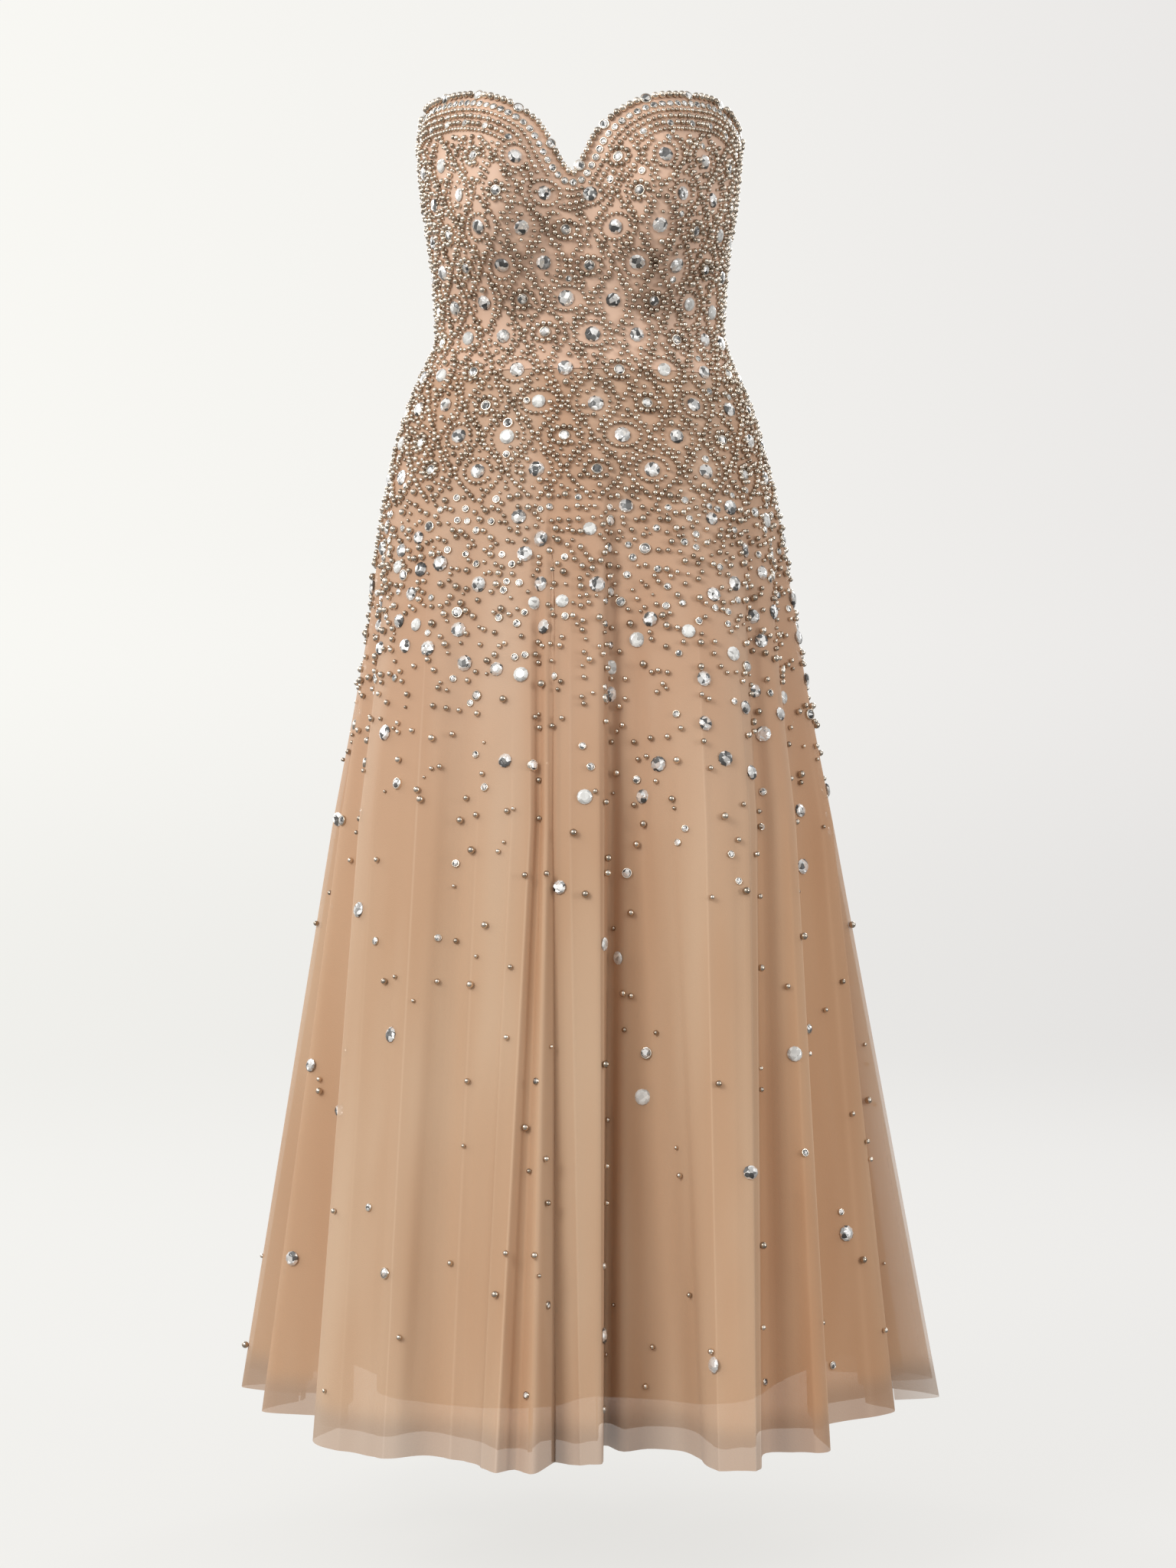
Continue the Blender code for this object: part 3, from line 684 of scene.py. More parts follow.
def crystal_material(name, tint, spread, cell, roughness=0.06):
    """Foil-backed cut glass: every facet throws the light another way, and each facet's colour is painted from near
    black to bright, as painted reflections.
    """
    mat, nodes, links, shader = new_material(name)
    cells = node(nodes, "ShaderNodeTexVoronoi", feature="F1", Scale=1.0 / cell)
    links.new(scaled_position(nodes, links, (1, 1, 1)), cells.inputs["Vector"])
    centred = node(nodes, "ShaderNodeVectorMath", operation="SUBTRACT")
    links.new(cells.outputs["Color"], centred.inputs[0])
    centred.inputs[1].default_value = (0.5, 0.5, 0.5)
    tilt = node(nodes, "ShaderNodeVectorMath", operation="SCALE")
    links.new(centred.outputs[0], tilt.inputs[0])
    tilt.inputs["Scale"].default_value = spread
    geometry = nodes.new("ShaderNodeNewGeometry")
    add = node(nodes, "ShaderNodeVectorMath", operation="ADD")
    links.new(geometry.outputs["Normal"], add.inputs[0])
    links.new(tilt.outputs[0], add.inputs[1])
    unit = node(nodes, "ShaderNodeVectorMath", operation="NORMALIZE")
    links.new(add.outputs[0], unit.inputs[0])
    links.new(unit.outputs[0], shader.inputs["Normal"])
    # painted reflections: each facet's colour is picked at random from near black up to the tint
    pick = node(nodes, "ShaderNodeSeparateColor")
    links.new(cells.outputs["Color"], pick.inputs[0])
    shade = ramp(
        nodes,
        (
            (0.0, tuple(c * 0.05 for c in tint)),
            (0.28, tuple(c * 0.16 for c in tint)),
            (0.42, tuple(c * 0.75 for c in tint)),
            (0.56, tint),
        ),
    )
    links.new(pick.outputs[1], shade.inputs["Fac"])
    links.new(shade.outputs["Color"], shader.inputs["Base Color"])
    shader.inputs["Metallic"].default_value = 0.42
    shader.inputs["Roughness"].default_value = roughness
    shader.inputs["Coat Weight"].default_value = 1.0
    shader.inputs["Coat Roughness"].default_value = 0.02
    return mat


def milky_material(name):
    """Cloudy white cut stones."""
    mat, nodes, links, shader = new_material(name)
    cloud = node(nodes, "ShaderNodeTexVoronoi", feature="F1", Scale=260.0)
    links.new(scaled_position(nodes, links, (1, 1, 1)), cloud.inputs["Vector"])
    pick = node(nodes, "ShaderNodeSeparateColor")
    links.new(cloud.outputs["Color"], pick.inputs[0])
    shade = ramp(nodes, ((0.0, (0.36, 0.35, 0.33)), (0.4, (0.62, 0.61, 0.58)), (1.0, (0.82, 0.82, 0.79))))
    links.new(pick.outputs[0], shade.inputs["Fac"])
    links.new(shade.outputs["Color"], shader.inputs["Base Color"])
    shader.inputs["Roughness"].default_value = 0.12
    shader.inputs["Coat Weight"].default_value = 1.0
    shader.inputs["Coat Roughness"].default_value = 0.03
    return mat


OVER_TULLE = tulle_material("over_tulle", (0.68, 0.485, 0.330), (0.61, 0.390, 0.242), 0.70, 820, 0.08)
MID_TULLE = tulle_material("mid_tulle", (0.65, 0.415, 0.25), (0.56, 0.325, 0.18), 0.78, 820, 0.06)
BODICE_CLOTH = woven_material("bodice_cloth", (0.74, 0.515, 0.385), (0.66, 0.435, 0.31), 0.62, 0.08)
LINING_CLOTH = woven_material("lining_cloth", (0.62, 0.39, 0.245), (0.54, 0.31, 0.18), 0.45, 0.06)
TAPE_CLOTH = woven_material("tape_cloth", (0.56, 0.38, 0.26), (0.48, 0.32, 0.21), 0.7, 0.05, 0.3)
PEWTER = metal_material("pewter_beads", (0.37, 0.305, 0.24), (0.92, 0.82, 0.70), 0.16)
SEED = metal_material("seed_beads", (0.36, 0.295, 0.23), (0.90, 0.80, 0.68), 0.18)
RIM = metal_material("stone_rims", (0.50, 0.43, 0.35), (0.88, 0.80, 0.70), 0.15)
ZIP_METAL = metal_material("zip_metal", (0.58, 0.51, 0.42), (0.66, 0.60, 0.52), 0.28)
CLEAR = crystal_material("clear_crystal", (0.96, 0.945, 0.915), 1.10, 0.0046)
SMALL_CLEAR = crystal_material("small_crystal", (0.94, 0.92, 0.885), 0.90, 0.0026)
MILKY = milky_material("milky_crystal")

# ------------------------------------------------------------------ cloth shells
PARTS = (("front", -SIDE, SIDE), ("back_left", SIDE, 180.0), ("back_right", -180.0, -SIDE))


def mid_creases(seed, count):
    rng = np.random.default_rng(seed)
    rows = []
    for k in range(count):
        t = -180 + 360 * (k + rng.uniform(0.15, 0.85)) / count
        if abs(abs(t) - 180) < 3:
            continue
        rows.append(
            (
                t,
                t + rng.uniform(-1.2, 1.2),
                rng.uniform(-0.42, -0.16),
                HEM_Z,
                rng.choice((-1, 1)) * rng.uniform(0.8, 1.6),
                rng.uniform(0.8, 1.8),
            )
        )
    return tuple(rows)


MID_ROWS, LINING_ROWS = mid_creases(5, 46), mid_creases(9, 26)


def over_out(t, z):
    return crease(t, z)


def mid_out(t, z):
    depth = 0.0016 + 0.0030 * np.clip((FOLD_TOP_Z - z) / 0.30, 0, 1)
    return -depth + crease(t, z, MID_ROWS, 0.8) * np.clip(-z / 0.3, 0, 1)


def lining_out(t, z):
    depth = 0.0036 + 0.0030 * np.clip((ZIP_END_Z - z) / 0.2, 0, 1)
    return -depth + crease(t, z, LINING_ROWS, 1.4)


# Painted sheen along the folds' edges, where a paler colour is mixed in: degrees, top, strength
SHEEN_EDGES = tuple(
    (t1, z0, 0.10 + 0.22 * ((k * 7) % 5) / 4) for k, (t0, t1, z0, z1, mm, wide) in enumerate(CREASES) if 0 < mm < 4
) + tuple(
    (row[1], -0.30, 0.42)
    for row in FOLDS
    if row[0] in ("pleat_1", "pleat_2", "centre_flute_edge", "right_flute_edge", "right_panel_edge", "main_panel_edge")
)
MID_SHEEN_EDGES = tuple((row[0], row[2], 0.25) for row in MID_ROWS[::3])

for prefix, surface, out, hem, mat, step, level_step, wave, lines in (
    ("overskirt", tulle_at, over_out, HEM_Z, OVER_TULLE, 0.0056, 0.0100, 0.0016, SHEEN_EDGES),
    ("midskirt", tulle_at, mid_out, MID_HEM_Z, MID_TULLE, 0.0070, 0.0130, 0.0030, MID_SHEEN_EDGES),
    ("lining", lining_at, lining_out, LINING_HEM_Z, LINING_CLOTH, 0.0085, 0.0150, 0.0, ()),
):
    for part, t0, t1 in PARTS:
        piece, t, z = sheet_piece(
            f"{prefix}_{part}_cloth", t0, t1, surface, out, hem, mat, step, level_step, wave, lines
        )
        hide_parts(f"{prefix}_{part}")
        area = sheet_area(piece)
        wide = max(ring_length(surface, t, hem), ring_length(surface, t, MID_Z))
        long = abs(hem) + 0.05
        while area > wide * long:
            long += 0.01


def bodice_piece(part, t0, t1):
    """A bodice panel as a closed wall with its top edge rolled over."""
    t = np.linspace(t0 + 0.12, t1 - 0.12, int((t1 - t0) / 0.95) + 1)
    if t0 < NOTCH_T < t1:
        t = np.unique(np.concatenate([t, np.arange(-13, 12, 0.4)]))
    share = np.linspace(0, 1, 46)
    tt, ss = np.meshgrid(t, share)
    zz = 0.0004 + ss * (top_edge(tt) - 0.0004)
    ox, oy = moved(form, tt, zz, 0.0)
    ix, iy = moved(form, tt, zz, -BODICE_WALL)
    ox, ix = parted(tt, zz, ox), parted(tt, zz, ix)
    outer = np.stack([ox, oy, zz], -1)
    inner = np.stack([ix, iy, zz], -1)
    mx, my = moved(form, t, top_edge(t), -BODICE_WALL / 2)
    mx = parted(t, top_edge(t), mx)
    lip = np.stack([mx, my, top_edge(t) + 0.0008], -1)[None]
    bx, by = moved(form, t, 0.0004 + 0 * t, -BODICE_WALL / 2)
    bx = parted(t, 0 * t, bx)
    foot = np.stack([bx, by, 0.0002 + 0 * t], -1)[None]
    rows = np.concatenate([foot, outer, lip, inner[::-1]], 0)
    n, columns = rows.shape[0], rows.shape[1]
    faces = grid_faces(n, columns)
    last = np.arange(columns - 1) + (n - 1) * columns
    close = np.stack([last, last + 1, np.arange(1, columns), np.arange(columns - 1)], -1)
    faces = np.concatenate([faces, close], 0)
    obj = mesh_object(f"bodice_{part}_cloth", rows.reshape(-1, 3), faces, BODICE_CLOTH)
    # close the two ends of the wall
    import bmesh

    bm = bmesh.new()
    bm.from_mesh(obj.data)
    loose = [e for e in bm.edges if len(e.link_faces) == 1]
    bmesh.ops.holes_fill(bm, edges=loose, sides=0)
    bmesh.ops.recalc_face_normals(bm, faces=bm.faces)
    for face in bm.faces:
        face.smooth = True
    bmesh.ops.triangulate(bm, faces=[f for f in bm.faces if len(f.verts) > 4])
    bm.to_mesh(obj.data)
    bm.free()
    obj.data.set_sharp_from_angle(angle=math.radians(50))
    return obj


for part, t0, t1 in PARTS:
    piece = bodice_piece(part, t0, t1)
    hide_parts(f"bodice_{part}")
    area = sheet_area(piece) / 2
    tt = np.linspace(t0, t1, 400)
    wide, high = ring_length(form, tt, 0.19), 0.262 if part == "front" else 0.245


# ------------------------------------------------------------------ beadwork
class Beads:
    """Beads by kind. A new one is left out where it would run into another."""

    def __init__(self):
        self.rows = []
        self.cells = {}

    def add(self, p, n, r, kind, crowd=0.94):
        key = tuple(int(math.floor(v / 0.012)) for v in p)
        for a in (-1, 0, 1):
            for b in (-1, 0, 1):
                for c in (-1, 0, 1):
                    for k in self.cells.get((key[0] + a, key[1] + b, key[2] + c), ()):
                        q, s = self.rows[k][0], self.rows[k][2]
                        if (p[0] - q[0]) ** 2 + (p[1] - q[1]) ** 2 + (p[2] - q[2]) ** 2 < ((r + s) * crowd) ** 2:
                            return False
        self.cells.setdefault(key, []).append(len(self.rows))
        self.rows.append((p, n, r, kind))
        return True


BEADS = Beads()
SIZE = {  # radius in metres
    "big": 0.0072,
    "milky": 0.0070,
    "mid": 0.0052,
    "chaton": 0.0037,
    "large_bead": 0.0034,
    "bead": 0.0027,
    "small": 0.0021,
    "seed": 0.0016,
}


GRID_T = np.linspace(-182.0, 182.0, 1457)
GRID_Z = np.linspace(HEM_Z - 0.004, 0.264, 412)
GRID_P, GRID_N = gown_frame(*np.meshgrid(GRID_T, GRID_Z))
EDGE_T = np.linspace(-182.0, 182.0, 3641)
EDGE_Z = top_edge(EDGE_T)


def surface_at(t, z):
    """Rows of points and normals of the gown's outside, from the grid."""
    t = (np.asarray(t, float) + 180) % 360 - 180
    u = (t - GRID_T[0]) / (GRID_T[1] - GRID_T[0])
    v = (np.clip(z, GRID_Z[0], GRID_Z[-1] - 1e-6) - GRID_Z[0]) / (GRID_Z[1] - GRID_Z[0])
    i = np.clip(u.astype(int), 0, len(GRID_T) - 2)
    j = np.clip(v.astype(int), 0, len(GRID_Z) - 2)
    a, b = (u - i)[..., None], (v - j)[..., None]
    out = []
    for grid in (GRID_P, GRID_N):
        out.append(
            (grid[j, i] * (1 - a) + grid[j, i + 1] * a) * (1 - b)
            + (grid[j + 1, i] * (1 - a) + grid[j + 1, i + 1] * a) * b
        )
    out[1] = out[1] / np.maximum(np.linalg.norm(out[1], axis=-1, keepdims=True), 1e-9)
    return out


def put_many(t, z, kinds, sizes, crowd=0.94, most=None):
    """Set beads one after another; how many found room."""
    t, z = np.atleast_1d(np.asarray(t, float)), np.atleast_1d(np.asarray(z, float))
    t = (t + 180) % 360 - 180
    edge = np.interp(t, EDGE_T, EDGE_Z) - 0.0005
    z = np.where(z > edge, edge, z)
    p, n = surface_at(t, z)
    done = 0
    for k in range(len(t)):
        kind = kinds[k]
        r = SIZE[kind] * sizes[k]
        clear = 0.0044 if z[k] > 0.135 else 0.0018
        if p[k][1] > 0 and z[k] > ZIP_END_Z - 0.02 and abs(p[k][0]) < r + clear:
            continue  # the zip stays free, and so does the room its slider and pull need
        lift = 0.0 if kind in ("big", "milky", "mid", "chaton") else 0.80
        at = p[k] + n[k] * (r * lift)
        done += BEADS.add((float(at[0]), float(at[1]), float(at[2])), tuple(n[k]), float(r), kind, crowd)
        if most is not None and done >= most:
            break
    return done


def put(t, z, kind, size=1.0, crowd=0.94):
    return put_many([t], [z], [kind], [size], crowd)


def run(points, pattern, gap=1.0, crowd=0.90):
    """Beads set one after another along a line of (t, z), in the pattern's order."""
    pts = np.array(points, float)
    if len(pts) < 2:
        return
    fine = np.linspace(0, len(pts) - 1, (len(pts) - 1) * 14 + 1)
    t = np.interp(fine, np.arange(len(pts)), pts[:, 0])
    z = np.interp(fine, np.arange(len(pts)), pts[:, 1])
    p, _ = surface_at(t, z)
    far = np.concatenate([[0], np.cumsum(np.linalg.norm(np.diff(p, axis=0), axis=1))])
    places, kinds, at, last = [], [], 0.0, 0.0
    while True:
        kind = pattern[len(kinds) % len(pattern)]
        at += 0 if not kinds else (last + SIZE[kind]) * gap
        if at > far[-1]:
            break
        places.append(at)
        kinds.append(kind)
        last = SIZE[kind]
    put_many(
        np.interp(places, far, t),
        np.interp(places, far, z),
        kinds,
        RNG.uniform(0.94, 1.06, len(kinds)),
        crowd,
    )


ARM = 0.128  # metres along the bodice for each radian round it
OGEE = 9.0  # degrees between the curved lines of the ogee lattice
SWAY = 3.7  # how far each line swings to either side, in degrees
WAVE = 0.064  # height of one ogee
LATTICE_FOOT = -0.125  # where the lattice gives way to scattered beads
LINES = range(-19, 20)


def neck_row(distance):
    """The row that runs this far below the neckline, all the way round."""
    t = np.linspace(-178.0, 178.0, 2200)
    s, z = np.radians(t) * ARM, top_edge(t)
    ds, dz = np.gradient(s), np.gradient(z)
    far = np.hypot(ds, dz)
    qs, qz = s + dz / far * distance, z - ds / far * distance
    clear = np.array([np.hypot(s - a, z - b).min() > distance * 0.97 for a, b in zip(qs, qz)])
    return [(math.degrees(a / ARM), b) for a, b in zip(qs[clear][::3], qz[clear][::3])]


def ogee_line(k, z):
    """The angle of line k of the lattice at height z."""
    return OGEE * k + SWAY * np.cos(2 * np.pi * z / WAVE + np.pi * k)


def ring(t, z, radius, kind, gap=1.10):
    """A ring of beads round a place, at this many metres from it."""
    arm = float(np.hypot(*gown_at(t, z)))
    pts = [
        (t + math.degrees(radius * math.cos(a) / arm), z + radius * math.sin(a))
        for a in np.linspace(0, 2 * math.pi, 30)
    ]
    run(pts, (kind,), gap, 0.86)


# the middle of every ogee: a ringed stone, a small flower of beads, or a plain stone in turn
for k in LINES:
    for level in range(-5, 8):
        z = WAVE * (level + (0.5 if k % 2 == 0 else 0.0))
        t = OGEE * (k + 0.5)
        if abs(t) > 172 or z > float(top_edge(t)) - 0.040 or z < LATTICE_FOOT:
            continue
        t, z = t + RNG.normal(0, 0.5), z + RNG.normal(0, 0.0012)
        turn = (k + level) % 3
        if turn == 1:
            put(t, z, "mid")
            ring(t, z, 0.0082, "bead", 1.06)
            continue
        put(t, z, "milky" if RNG.uniform() < 0.22 else "big", RNG.uniform(0.92, 1.06))
        if turn == 0:
            ring(t, z, 0.0116, "small", 1.16)

# the row on the neckline itself, then rows that echo it
edge_t = np.linspace(-178.0, 178.0, 900)
run([(float(a), float(top_edge(a)) - 0.0012) for a in edge_t],
    ("large_bead", "large_bead", "large_bead", "large_bead", "large_bead", "mid"), 1.02, 0.84)
for distance, pattern, gap in (
    (0.0095, ("chaton",), 1.12),
    (0.0165, ("small",), 1.12),
    (0.0228, ("bead", "small"), 1.12),
    (0.0292, ("bead", "chaton", "bead", "bead"), 1.14),
    (0.0350, ("small",), 1.12),
):
    run(neck_row(distance), pattern, gap)

# the ogee lattice: lines that swing towards and away from their neighbours
for k in LINES:
    z = np.linspace(float(top_edge(OGEE * k)) - 0.040, LATTICE_FOOT, 160)
    run([(float(a), float(b)) for a, b in zip(ogee_line(k, z), z)], ("bead", "bead", "small"), 1.12)
    # a shorter curve inside each side of the ogees
    for side in (-1, 1):
        z = np.linspace(float(top_edge(OGEE * k)) - 0.046, LATTICE_FOOT + 0.03, 150)
        t = OGEE * k + side * 1.9 + (SWAY - 0.9) * np.cos(2 * np.pi * z / WAVE + np.pi * k)
        run([(float(a), float(b)) for a, b in zip(t, z)], ("small", "seed"), 1.40)

# scatter: how many stones and beads lie on each square metre, from the waist down
def thinning(z, table):
    return float(np.interp(-z, [row[0] for row in table], [row[1] for row in table]))


LARGE_STONES = ((0.10, 560), (0.20, 520), (0.28, 400), (0.36, 200), (0.44, 50), (0.97, 15))
SMALL_BEADS = ((-0.26, 9000), (0.0, 8500), (0.06, 8500), (0.12, 9000), (0.18, 6900), (0.24, 4500),
               (0.30, 2500), (0.38, 1150), (0.46, 480), (0.60, 230), (0.97, 120))


def scatter(z_low, z_high, table, kinds, chances, crowd, most):
    """Darts thrown evenly over the surface, kept as often as the table says."""
    dz = 0.01
    for z0 in np.arange(z_low, z_high, dz):
        z_mid = z0 + dz / 2
        t = np.linspace(-180, 180, 361)
        p, _ = surface_at(t, z_mid + 0 * t)
        far = np.concatenate([[0], np.cumsum(np.hypot(np.diff(p[:, 0]), np.diff(p[:, 1])))])
        wanted = int(thinning(z_mid, table) * far[-1] * dz + RNG.uniform())
        if not wanted:
            continue
        count = int(wanted * most)
        t1 = np.interp(RNG.uniform(0, far[-1], count), far, t)
        z1 = z0 + RNG.uniform(0, dz, count)
        keep = z1 < np.interp(t1, EDGE_T, EDGE_Z) - 0.004
        t1, z1 = t1[keep], z1[keep]
        chosen = RNG.choice(kinds, len(t1), p=chances)
        put_many(t1, z1, chosen, RNG.uniform(0.88, 1.06, len(t1)), crowd, most=wanted)


scatter(-0.90, LATTICE_FOOT, LARGE_STONES, ["big", "milky"], [0.78, 0.22], 1.75, 8)

# below the lattice each line goes on as single beads, further and further apart
for k in LINES:
    t, z = OGEE * k + RNG.normal(0, 0.4), LATTICE_FOOT - 0.006
    stop = -0.27 - 0.05 * math.cos(k * 1.7)
    while z > stop:
        kind = RNG.choice(["bead", "large_bead", "chaton", "mid"], p=[0.52, 0.28, 0.15, 0.05])
        put(t, z, kind, RNG.uniform(0.9, 1.05))
        z -= 0.0095 + 0.012 * (LATTICE_FOOT - z) / 0.15 + RNG.uniform(0, 0.005)
        t += RNG.normal(0, 0.35)

scatter(-0.93, 0.24, SMALL_BEADS,
        ["bead", "small", "large_bead", "chaton", "mid", "seed"],
        [0.39, 0.18, 0.21, 0.14, 0.05, 0.03], 1.10, 7)
print("beads", len(BEADS.rows))


# ------------------------------------------------------------------ bead shapes
def ball(segments, rings):
    verts = [(0, 0, 1)]
    for j in range(1, rings):
        a = math.pi * j / rings
        for i in range(segments):
            b = 2 * math.pi * (i + 0.5 * (j % 2)) / segments
            verts.append((math.sin(a) * math.cos(b), math.sin(a) * math.sin(b), math.cos(a)))
    verts.append((0, 0, -1))
    faces = []
    for i in range(segments):
        k = (i + 1) % segments
        faces.append((0, 1 + i, 1 + k))
        for j in range(rings - 2):
            a, b = 1 + j * segments, 1 + (j + 1) * segments
            faces.append((a + i, b + i, b + k))
            faces.append((a + i, b + k, a + k))
        last = 1 + (rings - 2) * segments
        faces.append((last + i, len(verts) - 1, last + k))
    return np.array(verts), np.array(faces)


def turned(profile, segments, cap=True):
    """A stone or rim: rings of (radius, height, share of a step turned)."""
    verts, faces = [], []
    for r, h, turn in profile:
        for i in range(segments):
            a = 2 * math.pi * (i + turn) / segments
            verts.append((r * math.cos(a), r * math.sin(a), h))
    for j in range(len(profile) - 1):
        for i in range(segments):
            k = (i + 1) % segments
            a, b = j * segments, (j + 1) * segments
            faces.append((a + i, a + k, b + i))
            faces.append((a + k, b + k, b + i))
    if cap:
        last = (len(profile) - 1) * segments
        for i in range(1, segments - 1):
            faces.append((last, last + i, last + i + 1))
    return np.array(verts), np.array(faces)


SHAPES = {
    "large_bead": ball(12, 7),
    "bead": ball(9, 6),
    "small": ball(7, 5),
    "seed": ball(6, 4),
    "big_stone": turned(((0.86, -0.06, 0), (1.0, 0.10, 0), (0.98, 0.20, 0), (0.70, 0.42, 0.5), (0.40, 0.50, 0)), 10),
    "milky_stone": turned(((0.84, -0.06, 0), (1.0, 0.10, 0), (0.96, 0.20, 0), (0.78, 0.34, 0.5), (0.56, 0.42, 0)), 12),
    "rim": turned(((1.0, -0.10, 0), (1.02, 0.34, 0), (0.96, 0.46, 0), (0.82, 0.44, 0)), 14, cap=False),
    "rim_stone": turned(((0.84, 0.40, 0), (0.60, 0.58, 0.5), (0.30, 0.64, 0)), 8),
    "chaton_stone": turned(((0.80, 0.42, 0), (0.52, 0.62, 0.5), (0.24, 0.68, 0)), 7),
    "chaton_rim": turned(((0.96, -0.10, 0), (1.0, 0.36, 0), (0.90, 0.50, 0), (0.78, 0.46, 0)), 11, cap=False),
}


def placed(shape, rows):
    """One joined mesh: the shape at each row's place, turned to its normal."""
    base, faces = SHAPES[shape]
    p = np.array([r[0] for r in rows])
    n = np.array([r[1] for r in rows])
    s = np.array([r[2] for r in rows])
    spin = RNG.uniform(0, 2 * math.pi, len(rows))
    lean = RNG.normal(0, 0.05, (len(rows), 3))
    n = n + lean
    n /= np.linalg.norm(n, axis=1, keepdims=True)
    up = np.where(np.abs(n[:, 2:3]) > 0.9, np.array([[1.0, 0, 0]]), np.array([[0, 0, 1.0]]))
    a = np.cross(up, n)
    a /= np.linalg.norm(a, axis=1, keepdims=True)
    b = np.cross(n, a)
    c, d = np.cos(spin)[:, None], np.sin(spin)[:, None]
    a, b = a * c + b * d, b * c - a * d
    verts = (
        p[:, None]
        + s[:, None, None] * (base[None, :, 0:1] * a[:, None] + base[None, :, 1:2] * b[:, None] + base[None, :, 2:3] * n[:, None])
    )
    all_faces = faces[None] + (np.arange(len(rows)) * len(base))[:, None, None]
    tone = np.repeat(np.clip(RNG.beta(1.6, 1.8, len(rows)), 0, 1), len(base))
    return verts.reshape(-1, 3), all_faces.reshape(-1, 3), tone


ZONES = (
    ("bodice_front", lambda p: p[2] > 0 and p[1] < 0.0),
    ("bodice_back", lambda p: p[2] > 0 and p[1] >= 0.0),
    ("hips_front", lambda p: -0.13 < p[2] <= 0 and p[1] < 0.0),
    ("hips_back", lambda p: -0.13 < p[2] <= 0 and p[1] >= 0.0),
    ("skirt_front", lambda p: p[2] <= -0.13 and p[1] < 0.0),
    ("skirt_back", lambda p: p[2] <= -0.13 and p[1] >= 0.0),
)
LAYERS = (
    # shape, kinds of bead it is for, material, smooth
    ("large_bead", ("large_bead",), PEWTER, True),
    ("bead", ("bead",), PEWTER, True),
    ("small", ("small",), SEED, True),
    ("seed", ("seed",), SEED, True),
    ("big_stone", ("big",), CLEAR, False),
    ("milky_stone", ("milky",), MILKY, False),
    ("rim", ("mid",), RIM, True),
    ("rim_stone", ("mid",), CLEAR, False),
    ("chaton_rim", ("chaton",), RIM, True),
    ("chaton_stone", ("chaton",), SMALL_CLEAR, False),
)
TOTAL = 0
for zone, inside in ZONES:
    here = [row for row in BEADS.rows if inside(row[0])]
    for shape, kinds, mat, smooth in LAYERS:
        rows = [row for row in here if row[3] in kinds]
        if not rows:
            continue
        verts, faces, tone = placed(shape, rows)
        TOTAL += len(faces)
        piece = mesh_object(f"{zone}_{shape}s", verts, faces, mat, smooth, sizes=tone)
print("beads", len(BEADS.rows), "triangles", TOTAL)

# ------------------------------------------------------------------ seams and zip
def ribbon(name, points, normals, width, height, mat):
    """A narrow raised strip along points, flat on the side that faces the cloth."""
    p, n = np.asarray(points), np.asarray(normals)
    along = np.gradient(p, axis=0)
    along /= np.linalg.norm(along, axis=1, keepdims=True)
    side = np.cross(along, n)
    side /= np.linalg.norm(side, axis=1, keepdims=True)
    rows = []
    for a, h in ((-0.5, -0.1), (-0.35, 0.8), (0, 1.0), (0.35, 0.8), (0.5, -0.1)):
        rows.append(p + side * width * a + n * height * h)
    grid = np.stack(rows, 1)
    piece = mesh_object(name, grid.reshape(-1, 3), grid_faces(len(p), 5), mat)
    return piece


t = np.linspace(-178.6, 178.6, 700)
p, n = gown_frame(t, 0.0006 + 0 * t)
ribbon("waist_seam_line", p + n * 0.0001, n, 0.0016, 0.0006, BODICE_CLOTH)

for side in (-1, 1):
    name = "left" if side > 0 else "right"
    z = np.linspace(ZIP_TOP_Z, ZIP_END_Z - 0.012, 160)
    y = form(180.0 + 0 * z, z)[1]
    x = side * 0.0060 + 0 * z
    pts = np.stack([x, y - 0.00012, z], -1)
    nrm = np.tile(np.array([[0.0, 1.0, 0.0]]), (len(z), 1))
    ribbon(f"zip_stitch_fold_{name}", pts, nrm, 0.0011, 0.0005, BODICE_CLOTH)

# the zip's teeth: they mesh from left and right in turn down the gap at the centre back
TOOTH, PITCH = (0.00115, 0.00085), 0.00130
places = np.arange(ZIP_END_Z + 0.0015, ZIP_TOP_Z - 0.0008, PITCH)
verts, faces = [], []
for k, z in enumerate(places):
    side = 1 if k % 2 else -1
    root, tip, tall = side * 0.00080, -side * (TOOTH[0] - 0.00080), TOOTH[1] / 2
    face = float(tulle_at(180.0, z)[1])
    base = len(verts)
    for y, slim in ((face - 0.0009, 1.0), (face - 0.0001, 0.72)):
        verts += [(root, y, z - tall * slim), (tip, y, z - tall * slim * 0.7),
                  (tip, y, z + tall * slim * 0.7), (root, y, z + tall * slim)]
    ends = [(0, 3, 2, 1), (4, 5, 6, 7)] + [(i, (i + 1) % 4, (i + 1) % 4 + 4, i + 4) for i in range(4)]
    faces += [tuple(base + i for i in (row if side > 0 else row[::-1])) for row in ends]
teeth = mesh_object("zip_teeth", verts, faces, ZIP_METAL, smooth=False, sizes=[0.5] * len(verts))

for name, mat in (("zip_tape", TAPE_CLOTH), ("zip_slider", ZIP_METAL), ("zip_pull", ZIP_METAL)):
    obj = frame["nodes"][name]
    obj.data.materials.clear()
    obj.data.materials.append(mat)

